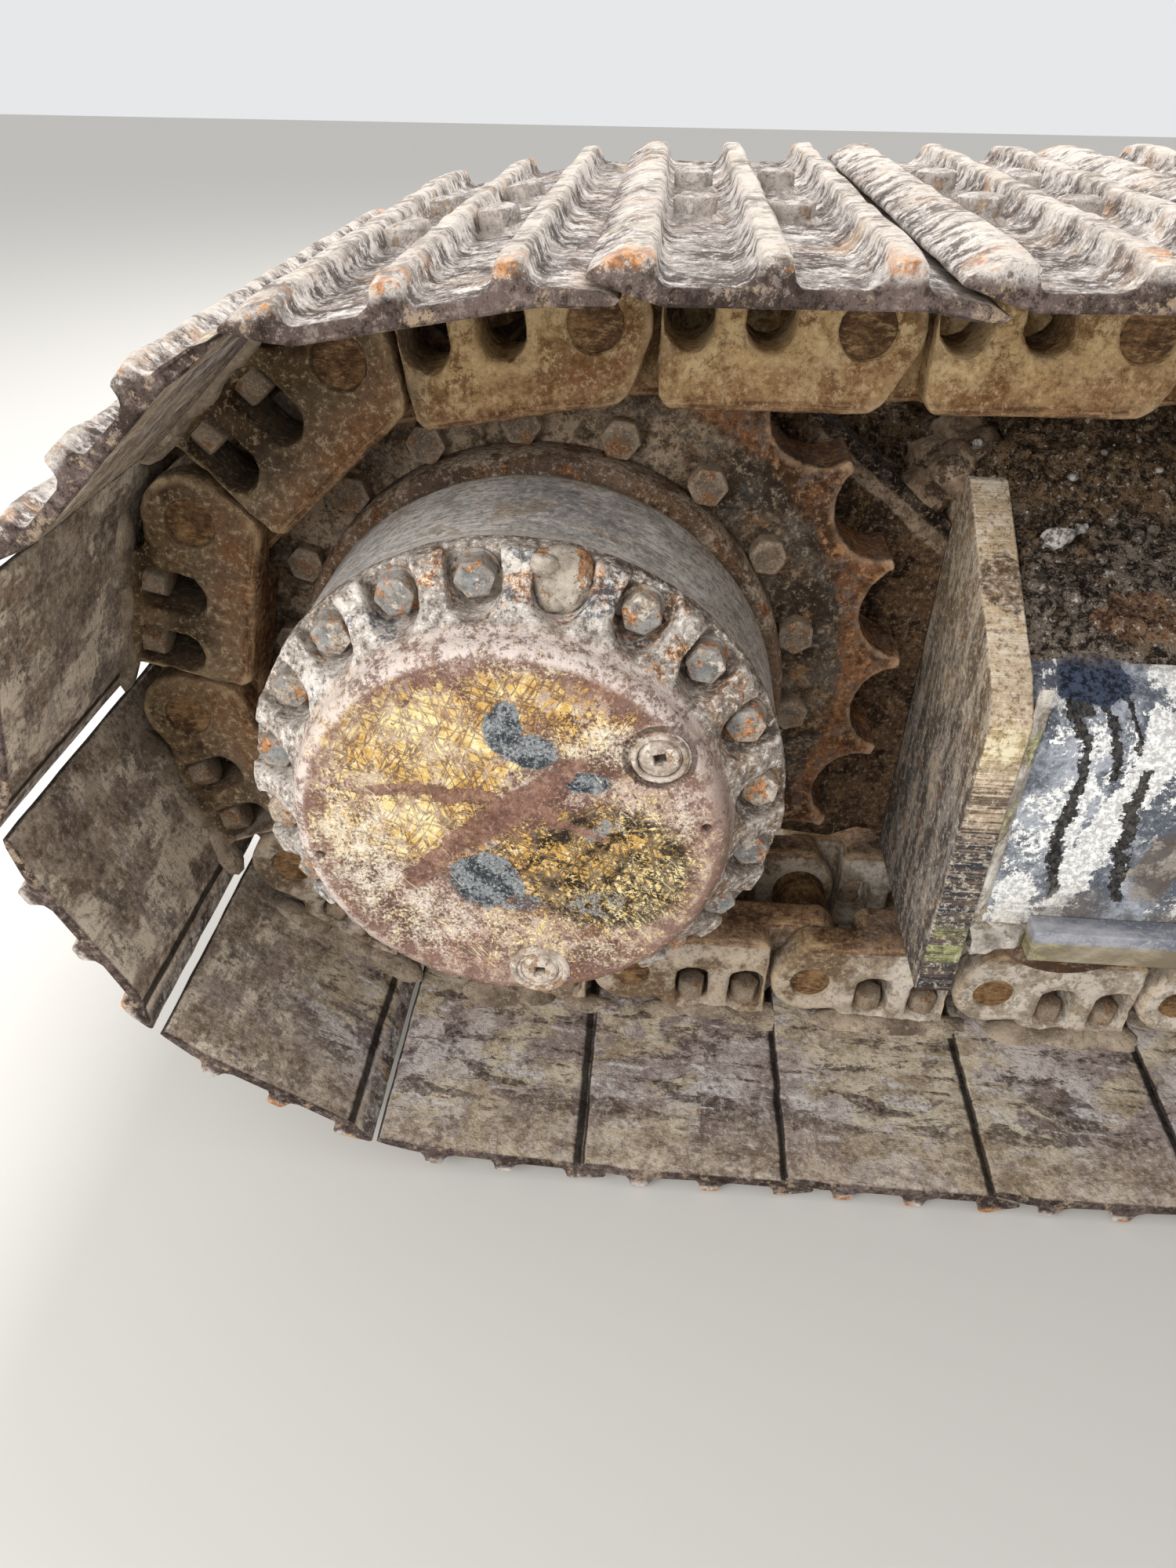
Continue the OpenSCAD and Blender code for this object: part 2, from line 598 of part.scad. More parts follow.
// Boxed arm from the frame to the pad. It is wider and taller at the frame.
module leg(x) {
  color([0.38, 0.36, 0.33]) placed() difference() {
    leg_solid(x, 0);
    leg_solid(x, frame_t);
  }
}
module leg_solid(x, inset) {
  w0 = 300 - inset;
  w1 = 215 - inset;
  y0 = frame_in + fit;
  y1 = pad_y - pad_t - fit;
  intersection() {
    translate([0, 0, frame_low]) linear_extrude(frame_ridge - frame_low)
      polygon([[x - w0, y0], [x - w1, y1], [x + w1, y1], [x + w0, y0]]);
    span_x(x - w0 - 10, x + w0 + 10)
      polygon([[y0, leg_z[0] + inset], [y1, pad_z - pad_tall / 2 + 15 + inset],
        [y1, pad_z + pad_tall / 2 - 15 - inset], [y0, leg_z[1] - inset]]);
  }
}

module pad(x) {
  color([0.38, 0.35, 0.30]) placed() difference() {
    translate([x - pad_len / 2, pad_y - pad_t, pad_z - pad_tall / 2]) cube([pad_len, pad_t, pad_tall]);
    for (w = [pad_bolt_x / 2, pad_bolt_in / 2], sx = [-1, 1], sz = [-1, 1])
      cyl_y(x + sx * w, pad_z + sz * pad_bolt_z / 2, pad_hole_r, pad_y - pad_t - 1, pad_y + 1);
  }
}

module rear_leg() { leg(rear_pad_x); }
module front_leg() { leg(idler_x - front_pad_x); }
module rear_pad() { pad(rear_pad_x); }
module front_pad() { pad(idler_x - front_pad_x); }

track_shoes();
track_links_outer();
track_links_inner();
track_pins();
sprocket();
drive_hub();
gear_housing();
drive_cover();
cover_plugs();
drive_mount();
travel_motor();
motor_ports();
motor_guard();
side_frame();
end_plate();
roller_rails();
outer_guard();
inner_guard();
side_ledge();
access_cover();
tie_down_eye();
front_head();
bottom_rollers();
roller_shafts();
carrier_rollers();
carrier_brackets();
idler();
idler_blocks();
recoil_rod();
rear_leg();
front_leg();
rear_pad();
front_pad();
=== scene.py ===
# Track unit of a crawler excavator, dressed over its CAD frame: worn castings, bolts,
# dried mud and soil. Lengths are in metres, in the frame's own axes: X along the track,
# Y from the outer face to the machine, Z up.
import math
import random

import bmesh
import bpy
from mathutils import Matrix, Vector, noise


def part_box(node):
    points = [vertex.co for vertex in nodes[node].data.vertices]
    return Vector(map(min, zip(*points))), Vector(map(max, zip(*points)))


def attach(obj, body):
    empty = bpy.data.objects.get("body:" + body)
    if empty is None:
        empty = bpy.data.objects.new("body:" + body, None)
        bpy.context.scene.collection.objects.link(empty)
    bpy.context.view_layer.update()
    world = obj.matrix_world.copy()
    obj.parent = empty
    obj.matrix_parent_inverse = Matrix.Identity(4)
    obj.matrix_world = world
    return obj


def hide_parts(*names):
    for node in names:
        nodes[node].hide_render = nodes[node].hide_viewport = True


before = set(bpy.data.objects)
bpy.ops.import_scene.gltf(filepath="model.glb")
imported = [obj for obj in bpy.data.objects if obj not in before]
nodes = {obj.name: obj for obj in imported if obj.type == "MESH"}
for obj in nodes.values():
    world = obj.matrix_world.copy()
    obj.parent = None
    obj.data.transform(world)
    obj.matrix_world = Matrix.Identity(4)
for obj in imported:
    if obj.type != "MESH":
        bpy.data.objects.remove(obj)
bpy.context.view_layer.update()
scene = bpy.context.scene
random.seed(11)
noise.seed_set(11)  # unset, its vectors change from run to run

driveLow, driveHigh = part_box("sprocket")
driveAxis = (driveLow + driveHigh) / 2  # its Y is not used
chainLow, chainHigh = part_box("track_pins")
chainY = (chainLow.y + chainHigh.y) / 2
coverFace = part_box("drive_cover")[0].y
sprocketFace = driveLow.y
shoeLow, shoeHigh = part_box("track_shoes")


def mergedCopy(*names):
    bm = bmesh.new()
    for name in names:
        bm.from_mesh(nodes[name].data)
    bmesh.ops.remove_doubles(bm, verts=bm.verts, dist=2e-5)
    bmesh.ops.dissolve_limit(
        bm, angle_limit=math.radians(
            0.4
        ), use_dissolve_boundaries=False, verts=bm.verts, edges=bm.edges, delimit=set()
    )
    return bm


def looseParts(bm):
    left = set(bm.verts)
    parts = []
    while left:
        part, front = set(), [left.pop()]
        while front:
            vert = front.pop()
            part.add(vert)
            for edge in vert.link_edges:
                other = edge.other_vert(vert)
                if other in left:
                    left.discard(other)
                    front.append(other)
        parts.append(part)
    return parts


def softenEdges(bm, width, rounds=2, angle=28):
    # only edges with room for the bevel on every side
    def roomy(edge):
        return all(e.calc_length() > 2.3 * width for v in edge.verts for e in v.link_edges)

    sharp = [
        e
        for e in bm.edges
        if len(e.link_faces) == 2 and e.calc_face_angle(0) > math.radians(angle) and roomy(e)
    ]
    bmesh.ops.bevel(
        bm, geom=sharp, offset=width, offset_type="OFFSET", segments=rounds, profile=0.5,
        affect="EDGES", clamp_overlap=False, material=-1,
    )
    return bm


def throughModifiers(bm, *settings):
    # runs modifiers on a bmesh and gives the result back as a new one
    mesh = bpy.data.meshes.new("working")
    bm.to_mesh(mesh)
    bm.free()
    obj = bpy.data.objects.new("working", mesh)
    scene.collection.objects.link(obj)
    for kind, values in settings:
        modifier = obj.modifiers.new(kind.lower(), kind)
        for key, value in values.items():
            setattr(modifier, key, value)
    made = obj.evaluated_get(bpy.context.evaluated_depsgraph_get()).to_mesh()
    result = bmesh.new()
    result.from_mesh(made)
    bpy.data.objects.remove(obj)
    bpy.data.meshes.remove(mesh)
    return result


def castSkin(bm, voxel, rounds=3):
    # an even skin whose edges are softened the way a worn casting's are
    bm = throughModifiers(bm, ("REMESH", {"mode": "VOXEL", "voxel_size": voxel, "adaptivity": 0.0}))
    for _ in range(rounds):
        bmesh.ops.smooth_vert(bm, verts=bm.verts, factor=0.5, use_axis_x=True, use_axis_y=True, use_axis_z=True)
    return bm


def roughen(bm, depth, size, seed=0.0, verts=None):
    bm.normal_update()
    shift = Vector((seed, seed * 0.7, -seed))
    for vert in verts or bm.verts:
        height = noise.fractal(vert.co / size + shift, 0.9, 2.1, 3)
        vert.co += vert.normal * depth * height


def newPiece(name, bm, finish, stands=(), smooth=38):
    mesh = bpy.data.meshes.new(name)
    bm.to_mesh(mesh)
    bm.free()
    mesh.polygons.foreach_set("use_smooth", [True] * len(mesh.polygons))
    mesh.set_sharp_from_angle(angle=math.radians(smooth))
    obj = bpy.data.objects.new(name, mesh)
    scene.collection.objects.link(obj)
    mesh.materials.append(finish)
    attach(obj, "root")
    if stands:
        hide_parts(*stands)
    print("piece", name, len(mesh.polygons), "faces")
    return obj


def addMesh(bm, template, matrix, change=None, tag=0.0):
    # copies a template into bm and writes down each point's own place on the template
    first = len(bm.verts)
    bm.from_mesh(template)
    own = bm.verts.layers.float_vector.get("ownPlace") or bm.verts.layers.float_vector.new("ownPlace")
    bm.verts.ensure_lookup_table()
    fresh = bm.verts[first:]
    for vert in fresh:
        vert[own] = vert.co.copy()
        if change:
            vert.co = change(vert.co, tag)
    bmesh.ops.transform(bm, matrix=matrix, verts=fresh)


def asMesh(bm, name="template"):
    mesh = bpy.data.meshes.new(name)
    bm.to_mesh(mesh)
    bm.free()
    return mesh


def ballMesh(subdivisions):
    bm = bmesh.new()
    bmesh.ops.create_icosphere(bm, subdivisions=subdivisions, radius=1)
    return asMesh(bm)


def unit(value):
    return min(1.0, max(0.0, value))


def sized(x, y, z):
    return Matrix.Diagonal((x, y, z, 1))


def anyTurn(most=1.0):
    return Matrix.Rotation(random.uniform(0, most), 4, "Z")


# turn something that stands on local +Z to the outer or the inner side
outward = Matrix.Rotation(math.radians(90), 4, "X")
inward = Matrix.Rotation(math.radians(-90), 4, "X")


def dress(node, finish):
    nodes[node].data.materials.clear()
    nodes[node].data.materials.append(finish)


def paint(code):
    # a colour as it looks on a screen, given to a node as light
    parts = [int(code[i : i + 2], 16) / 255 for i in (1, 3, 5)]
    return [c / 12.92 if c <= 0.04045 else ((c + 0.055) / 1.055) ** 2.4 for c in parts] + [1.0]


class Finish:
    # a material being built: short names for the nodes that every finish here uses
    def __init__(self, name):
        self.material = bpy.data.materials.new(name)
        self.material.use_nodes = True
        self.tree = self.material.node_tree
        self.shader = self.tree.nodes["Principled BSDF"]

    def add(self, kind, inputs=(), **settings):
        node = self.tree.nodes.new(kind)
        for key, value in settings.items():
            setattr(node, key, value)
        for key, value in dict(inputs).items():
            if isinstance(value, bpy.types.NodeSocket):
                self.tree.links.new(value, node.inputs[key])
            else:
                node.inputs[key].default_value = value
        return node

    def here(self):
        return self.add("ShaderNodeTexCoord").outputs["Object"]

    def own(self):
        return self.add("ShaderNodeAttribute", attribute_name="ownPlace").outputs["Vector"]

    def stretched(self, vector, scale, turn=(0, 0, 0), move=(0, 0, 0)):
        return self.add(
            "ShaderNodeMapping", {"Vector": vector, "Scale": scale, "Rotation": turn, "Location": move}
        ).outputs[0]

    def grain(self, vector, scale, detail=5.0, rough=0.6, warp=0.0):
        # nothing finer than a quarter of a millimetre, which no view shows
        detail = min(detail, math.log2(4000 / scale))
        return self.add(
            "ShaderNodeTexNoise",
            {"Vector": vector, "Scale": scale, "Detail": detail, "Roughness": rough, "Distortion": warp},
        ).outputs["Fac"]

    def grains(self, vector, *rows):
        return [self.grain(vector, *row) for row in rows]

    def band(self, value, low, high, first=0.0, last=1.0):
        return self.add(
            "ShaderNodeMapRange",
            {"Value": value, "From Min": low, "From Max": high, "To Min": first, "To Max": last},
            interpolation_type="SMOOTHSTEP",
        ).outputs["Result"]

    def calc(self, operation, a, b=0.0, c=0.0):
        return self.add("ShaderNodeMath", {0: a, 1: b, 2: c}, operation=operation).outputs[0]

    def fold(self, operation, values):
        amount = values[0]
        for value in values[1:]:
            amount = self.calc(operation, amount, value)
        return amount

    def both(self, *values):
        return self.fold("MULTIPLY", values)

    def total(self, *values):
        return self.fold("ADD", values)

    def most(self, *values):
        return self.fold("MAXIMUM", values)

    def less(self, a, b):
        return self.calc("SUBTRACT", a, b)

    def distance(self, a, b):
        return self.calc("SQRT", self.total(self.both(a, a), self.both(b, b)))

    def mean(self, a, b):
        return self.both(self.total(a, b), 0.5)

    def moved(self, vector, x, y, z):
        return self.stretched(vector, (1, 1, 1), move=(x, y, z))

    def turned(self, vector, degrees):
        return self.stretched(vector, (1, 1, 1), turn=(0, math.radians(degrees), 0))

    def gritty(self, colour, grit, dark, light, share=0.6, low=0.465, high=0.54):
        # dark pits and pale specks from one fine noise
        colour = self.mix(self.both(self.band(grit, low - 0.06, low, 1, 0), share), colour, dark)
        return self.mix(self.both(self.band(grit, high, high + 0.06), share), colour, light)

    def web(self, vector, degrees, scale, stretch, wide, seed=0.0):
        # thin wandering lines that run mostly one way
        way = self.stretched(self.turned(vector, degrees), (stretch, 1, 1), move=(seed, 0, seed))
        wave = self.grain(way, scale, 3, 0.55, 0.35)
        return self.band(self.calc("ABSOLUTE", self.less(wave, 0.5)), 0, wide, 1, 0)

    def glow(self, vector, x, z, wide, tall, lean=0.0):
        # 1 at a place in the X-Z plane, falling softly to 0
        place = self.moved(vector, -x, 0, -z)
        sx, _, sz = self.axes(self.turned(place, lean) if lean else place)
        dx, dz = self.calc("DIVIDE", sx, wide), self.calc("DIVIDE", sz, tall)
        return self.band(self.distance(dx, dz), 0.35, 1.3, 1, 0)

    def line(self, vector, x0, z0, x1, z1, wide):
        # 1 along a line in the X-Z plane, falling off beside and beyond it
        long = math.hypot(x1 - x0, z1 - z0)
        ux, uz = (x1 - x0) / long, (z1 - z0) / long
        dx, _, dz = self.axes(self.moved(vector, -x0, 0, -z0))
        along = self.total(self.both(dx, ux), self.both(dz, uz))
        across = self.calc("ABSOLUTE", self.less(self.both(dx, uz), self.both(dz, ux)))
        ends = self.between(along, -0.01, 0.01, long - 0.01, long + 0.01)
        return self.both(self.band(across, wide * 0.4, wide * 1.5, 1, 0), ends)

    def between(self, value, a, b, c, d):
        # 1 from b to c, falling to 0 at a and at d
        return self.both(self.band(value, a, b), self.band(value, c, d, 1, 0))

    def centred(self, value, share):
        # a noise made to swing round nought
        return self.both(self.less(value, 0.5), share)

    def surface(self, name):
        return self.add("ShaderNodeNewGeometry").outputs[name]

    def dirtAndShade(self, low=0.485, high=0.44):
        # 1 in the hollow corners, where dirt collects and shade is painted
        return self.band(self.surface("Pointiness"), low, high)

    def worn(self, low=0.51, high=0.58):
        # 1 on the outer edges
        return self.band(self.surface("Pointiness"), low, high)

    def upward(self):
        return self.axes(self.surface("Normal"))[2]

    def mix(self, factor, a, b):
        a = paint(a) if isinstance(a, str) else a
        b = paint(b) if isinstance(b, str) else b
        return self.add("ShaderNodeMix", {0: factor, 6: a, 7: b}, data_type="RGBA").outputs[2]

    def two(self, value, dark, light, half=0.05):
        # from dark to light across the middle of a noise
        return self.mix(self.band(value, 0.5 - half, 0.5 + half), dark, light)

    def over(self, colour, value, low, high, tint, share=1.0):
        # a tint laid over a colour as a value goes from low to high
        return self.mix(self.band(value, low, high, 0, share), colour, tint)

    def lay(self, colour, tint, *masks):
        # a tint laid over a colour where all the masks meet
        return self.mix(self.both(*masks), colour, tint)

    def axes(self, vector):
        return self.add("ShaderNodeSeparateXYZ", {0: vector}).outputs

    def joined(self, x, y, z):
        return self.add("ShaderNodeCombineXYZ", {0: x, 1: y, 2: z}).outputs[0]

    def aroundDrive(self):
        # radius from the drive's axis, place along it, and a vector that runs round it without a seam
        x, y, z = self.axes(self.here())
        dx, dz = self.less(x, driveAxis.x), self.less(z, driveAxis.z)
        radius = self.distance(dx, dz)
        ring = self.joined(self.calc("DIVIDE", dx, radius), self.both(y, 4.0), self.calc("DIVIDE", dz, radius))
        return radius, y, ring

    def finish(self, colour, height, rough=(0.75, 0.95), strength=0.5, reach=0.004, metal=0.0):
        self.tree.links.new(colour, self.shader.inputs["Base Color"])
        if isinstance(rough, tuple):
            rough = self.band(height, 0.2, 0.9, rough[0], rough[1])
        self.tree.links.new(rough, self.shader.inputs["Roughness"])
        bump = self.add("ShaderNodeBump", {"Height": height, "Strength": strength, "Distance": reach})
        self.tree.links.new(bump.outputs[0], self.shader.inputs["Normal"])
        self.shader.inputs["Metallic"].default_value = metal
        self.shader.inputs["Specular IOR Level"].default_value = 0.15
        return self.material


def coat(tint, tint2, size, low, high, share=0.8, ragged=0.7, up=0.0, lift=0.3):
    # two colours, size of the noise, where the layer starts and where it is full; up: how it likes level places
    return {
        "tint": tint, "tint2": tint2, "size": size, "low": low, "high": high,
        "share": share, "ragged": ragged, "up": up, "lift": lift,
    }


def layered(name, source=None):
    # bare colour with fine grain, then ragged layers of dust, mud or rust in turn
    if name in bpy.data.materials:
        return bpy.data.materials[name]
    look = looks[source or name]
    f = Finish(name)
    place = f.here()
    ground = f.grain(place, look["patchSize"], 6, 0.65)
    colour = f.over(look["dark"], ground, 0.38, 0.62, look["light"])
    fine = f.grain(f.stretched(place, look.get("grainStretch", (1, 1, 1))), look["grainSize"], 8, 0.8)
    height = f.total(f.both(ground, 0.4), f.both(fine, 0.6))
    if "edge" in look:
        colour = f.lay(colour, look["edge"][0], f.worn(0.51, 0.56), look["edge"][1])
    for number, layer in enumerate(look["layers"]):
        cloud = f.grain(f.moved(place, 3.1 * number, 1.7, 0.9 * number), layer["size"], 7, layer["ragged"])
        if layer["up"]:
            cloud = f.total(cloud, f.both(f.upward(), layer["up"]))
        cover = f.both(f.band(cloud, layer["low"], layer["high"]), layer["share"])
        colour = f.mix(cover, colour, f.over(layer["tint"], fine, 0.35, 0.65, layer["tint2"]))
        height = f.total(height, f.both(cover, layer["lift"]))
    colour = f.lay(colour, f.mix(0.7, colour, "#1c1511"), f.band(fine, 0.37, 0.45, 1, 0), 0.6)
    colour = f.lay(colour, f.mix(0.6, colour, "#e2d8cb"), f.band(fine, 0.56, 0.64), 0.5)
    # dark dirt and painted shade laid into the hollow corners
    colour = f.lay(colour, "#2a211a", f.dirtAndShade(), look.get("dirtAndShade", 0.5))
    rough, metal = look.get("rough", (0.7, 0.95)), look.get("metal", 0.0)
    return f.finish(colour, height, rough, look["bump"], look.get("reach", 0.003), metal)


dustyLayers = [
    coat("#4c3a2b", "#7d6148", 12, 0.51, 0.55, ragged=0.78),
    coat("#8a7762", "#b7a692", 17, 0.54, 0.60, 0.75, up=0.07, lift=0.5, ragged=0.78),
    coat("#6f4023", "#9c663c", 34, 0.59, 0.63),
]

looks = {
    "frameSteel": {
        "dark": "#4a4e54", "light": "#7f848a", "patchSize": 6, "grainSize": 220, "bump": 0.5,
        "edge": ("#b3a595", 0.2), "layers": dustyLayers,
    },
    "brownSteel": {
        "dark": "#3f3128", "light": "#6b5646", "patchSize": 6, "grainSize": 200, "bump": 0.6,
        "edge": ("#a08871", 0.25), "layers": dustyLayers,
    },
    "khakiCasting": {
        "dark": "#5c472f", "light": "#94754e", "patchSize": 8, "grainSize": 240, "bump": 0.5,
        "edge": ("#ad9067", 0.5), "layers": dustyLayers,
    },
    "darkMotor": {
        "dark": "#2b2826", "light": "#4a4541", "patchSize": 9, "grainSize": 260, "bump": 0.5, "rough": (0.5, 0.85),
        "edge": ("#8b7f72", 0.4), "layers": dustyLayers[:2],
    },
    "polishedTread": {
        "dark": "#5b4638", "light": "#8d7663", "patchSize": 10, "grainSize": 160, "grainStretch": (1, 0.15, 1),
        "bump": 0.25, "rough": (0.35, 0.7), "metal": 0.5, "layers": [dustyLayers[0], dustyLayers[2]],
    },
    "boltSteel": {
        "dark": "#41484e", "light": "#868c8e", "patchSize": 50, "grainSize": 260, "bump": 0.7, "reach": 0.0015,
        "edge": ("#b9ab9b", 0.5),
        "layers": [
            coat("#8f7d68", "#bfae9a", 12, 0.51, 0.55, 0.85),
            coat("#8a5630", "#c38a58", 60, 0.54, 0.58, 0.85),
            coat("#b5a795", "#ded2c4", 48, 0.57, 0.60),
        ],
    },
    "rustyBolt": {
        "dark": "#4c4038", "light": "#7d6c5b", "patchSize": 50, "grainSize": 380, "bump": 0.6, "reach": 0.0015,
        "edge": ("#a8967e", 0.5),
        "layers": [coat("#6e4c30", "#8c6440", 60, 0.5, 0.6)],
    },
    "mudBolt": {
        "dark": "#5a4e46", "light": "#b0a49a", "patchSize": 60, "grainSize": 220, "bump": 1.0, "reach": 0.004,
        "edge": ("#d2c7bd", 0.5),
        "layers": [
            coat("#8b7259", "#b08b62", 50, 0.54, 0.62, 0.7),
            coat("#d4cdc8", "#bdb3ab", 70, 0.56, 0.64, up=0.1),
        ],
    },
    "plugSteel": {
        "dark": "#8a7a6c", "light": "#c9bcae", "patchSize": 40, "grainSize": 260, "bump": 0.6, "reach": 0.0015,
        # strong dirt and painted shade in the plug's hollows
        "dirtAndShade": 0.9,
        "layers": [
            coat("#7b5c42", "#a58362", 60, 0.53, 0.57),
            coat("#d8c9b2", "#efe6da", 90, 0.56, 0.60),
        ],
    },
    "brownMud": {
        "dark": "#6a5644", "light": "#ab9379", "patchSize": 24, "grainSize": 150, "bump": 1.0, "reach": 0.006,
        "layers": [coat("#2a2019", "#5d4c3d", 40, 0.53, 0.57)],
    },
    "cornerMud": {
        "dark": "#8f857a", "light": "#cfc7bc", "patchSize": 30, "grainSize": 200, "bump": 0.8, "reach": 0.004,
        "layers": [
            coat("#7c6a54", "#a8977c", 24, 0.53, 0.57),
            coat("#a9a878", "#c9c69a", 30, 0.57, 0.60),
        ],
    },
    "paleMud": {
        "dark": "#8f8376", "light": "#c4b8a8", "patchSize": 30, "grainSize": 170, "bump": 0.9, "reach": 0.004,
        "layers": [coat("#8a4f28", "#cf9a68", 34, 0.53, 0.56, 0.85)],
    },
    "linkMud": {
        "dark": "#6d5e4f", "light": "#b3a18c", "patchSize": 16, "grainSize": 150, "bump": 1.0, "reach": 0.005,
        "layers": [coat("#a3917b", "#c4b49e", 22, 0.52, 0.60)],
    },
    "paleStone": {
        "dark": "#8b8780", "light": "#c4c0b8", "patchSize": 30, "grainSize": 300, "bump": 0.6,
        "layers": [coat("#3f3832", "#7d746a", 150, 0.50, 0.54, 0.85)],
    },
    "weldSteel": {
        "dark": "#4d4239", "light": "#85766a", "patchSize": 30, "grainSize": 260, "bump": 0.8,
        "layers": dustyLayers,
    },
}


def capFinish():
    # worn disc: mauve steel, old yellow paint, slate spots, chalk and many scratches
    f = Finish("driveCoverPaint")
    here = f.here()
    radius, y, ring = f.aroundDrive()
    local = f.moved(here, -driveAxis.x, -coverFace, -driveAxis.z)
    cloud, mid, grit = f.grains(here, (9, 6, 0.7), (44, 7, 0.75), (150, 8, 0.82))
    speck = f.grain(f.moved(here, 1, 2, 3), 330, 4, 0.75)
    pale = f.most(0.0, *[f.web(here, *row, row[0] / 7) for row in capLook["paleWeb"]])
    dark = f.most(0.0, *[f.web(here, *row, row[0] / 5) for row in capLook["darkWeb"]])

    def field(name):
        return f.most(0.0, *[f.both(f.glow(local, *row[:4]), row[4]) for row in capLook[name]])

    colour = f.two(cloud, "#6f5245", "#b89f90")
    colour = f.mix(f.band(mid, 0.46, 0.49, 0.7, 0), colour, "#5f453a")
    colour = f.over(colour, f.grain(f.moved(here, 6, 2, 2), 26, 7, 0.76), 0.55, 0.58, "#d0bbad", 0.7)
    colour = f.over(colour, f.grain(f.moved(here, 3, 0, 1), 15, 7, 0.75), 0.5, 0.6, "#8f6754", 0.6)
    colour = f.gritty(colour, speck, "#523a2e", "#d3bfae", 0.8, 0.44, 0.56)
    deep = f.band(f.total(field("dark"), f.centred(mid, 0.9), f.centred(grit, 0.8)), 0.40, 0.56)
    colour = f.mix(deep, colour, f.two(mid, "#2c241c", "#6d5c4b", 0.08))
    brushed = f.both(
        f.centred(f.grain(f.stretched(ring, (1, 0, 1)), 26, 4, 0.75), 1.8), f.band(radius, 0.075, 0.12)
    )
    old = f.total(field("yellow"), f.both(pale, 0.44), f.centred(speck, 1.3), f.centred(mid, 1.3), brushed)
    old = f.both(f.band(old, 0.50, 0.66), f.less(1.0, f.both(dark, 0.9)))
    gold = f.two(cloud, "#cfa65e", "#efdb9f", 0.08)
    gold = f.gritty(gold, f.grain(f.moved(here, 5, 5, 5), 110, 6, 0.8), "#93692f", "#faecc4", 0.6)
    colour = f.mix(old, colour, gold)
    chalk = f.total(f.both(field("chalk"), 0.55), f.centred(mid, 1.6), f.centred(speck, 1.6))
    colour = f.over(colour, chalk, 0.30, 0.80, f.two(cloud, "#e9dcc0", "#e8e1da", 0.1), 0.9)
    slate = f.band(f.total(field("slate"), f.centred(mid, 1.4), f.centred(speck, 0.8)), 0.50, 0.58)
    colour = f.mix(
        slate, colour, f.gritty(f.two(mid, "#3c4247", "#878a8b", 0.04), speck, "#26292c", "#b0afac", 0.8)
    )
    # the bare diagonal smear
    lx, ly, lz = f.axes(local)
    wander = f.centred(f.grain(here, 16, 6, 0.72), 0.05)
    frayed = f.joined(f.total(lx, wander), ly, f.total(lz, wander))
    for x, z, wide, tall, lean in capLook["smear"]:
        bare = f.band(
            f.total(f.glow(frayed, x, z, wide, tall, lean), f.centred(mid, 1.2), f.centred(speck, 0.6)), 0.42, 0.56
        )
        colour = f.lay(
            colour, f.gritty(f.two(mid, "#6d4d41", "#94705f", 0.1), grit, "#523830", "#b0907e", 0.6), bare, 0.9
        )
    face = f.band(radius, *capLook["face"], 1, 0)
    light = f.both(f.band(cloud, 0.47, 0.53), f.web(here, 35, 9, 8, 0.012, 3))
    colour = f.lay(colour, "#ead9b4", light, face, 0.8)
    # polished brown ring, chalky bevel with painted light on its upper left and painted shade on its lower right,
    # then the dusty conical wall and the flange with painted shade deep in the bolt pockets
    ringShade = f.between(radius, *capLook["ring"])
    colour = f.lay(colour, "#84655a", ringShade, f.band(f.mean(mid, grit), 0.42, 0.56, 0.85, 0.1))
    bevel = f.between(radius, *capLook["bevel"])
    # painted light on the bevel's upper left side and painted shade on its lower right
    away, _, rise = f.axes(ring)
    bevelLitSide = f.less(rise, f.both(away, 0.7))
    rimLitAndShaded = f.over("#85695c", bevelLitSide, -0.9, 0.5, "#dccdc4")
    colour = f.lay(colour, rimLitAndShaded, bevel, f.band(f.total(grit, f.centred(mid, 0.8)), 0.40, 0.55, 0.15, 0.95))
    wall = f.band(radius, *capLook["bevel"][2:])
    wallDustAndShade = f.two(f.mean(mid, cloud), "#9f948a", "#d3cac0")
    wallDustAndShade = f.over(
        wallDustAndShade, f.total(f.both(away, 0.05), f.grain(f.moved(here, 4, 0, 2), 22, 7, 0.75)), 0.545, 0.59,
        f.two(grit, "#7d4c28", "#cf9f6e"), 0.85,
    )
    wallDustAndShade = f.over(
        wallDustAndShade, f.grain(f.moved(here, 1, 7, 2), 17, 7, 0.75), 0.545, 0.59, f.two(grit, "#3b444d", "#7d848b"), 0.8
    )
    wallDustAndShade = f.lay(
        wallDustAndShade, f.two(mid, "#6f6155", "#9d9084", 0.1), f.band(f.total(away, f.centred(cloud, 2)), 0.45, 0.85), 0.7
    )
    # painted shade deep in the bolt pockets, darkest towards their floor
    wallDustAndShade = f.over(wallDustAndShade, y, coverFace + 0.056, coverFace + 0.074, f.two(grit, "#43382e", "#8f7c67", 0.1), 0.6)
    wallDustAndShade = f.gritty(wallDustAndShade, grit, "#544940", "#efe8e0", 0.75)
    colour = f.mix(wall, colour, wallDustAndShade)
    # painted shade and dirt in the groove round the level plug
    px, pz = capLook["levelPlug"]
    lx, _, lz = f.axes(f.moved(local, -px, 0, -pz))
    far = f.distance(lx, lz)
    groove = f.between(far, *capLook["groove"])
    colour = f.lay(colour, "#33271f", groove, f.band(mid, 0.4, 0.55, 0.3, 0.75))
    # dark dirt and painted shade in the hollow corners
    colour = f.lay(colour, "#3d3127", f.dirtAndShade(0.485, 0.45), 0.6)
    colour = f.lay(colour, "#e6ddd3", f.worn(0.52, 0.57), f.band(mid, 0.4, 0.6, 0.15, 0.7))
    height = f.total(
        f.both(grit, 0.9), f.both(mid, 0.6), f.both(old, 0.12), f.both(groove, -0.9), f.both(dark, face, -0.25)
    )
    return f.finish(colour, height, (0.45, 0.85), 0.7, 0.003)


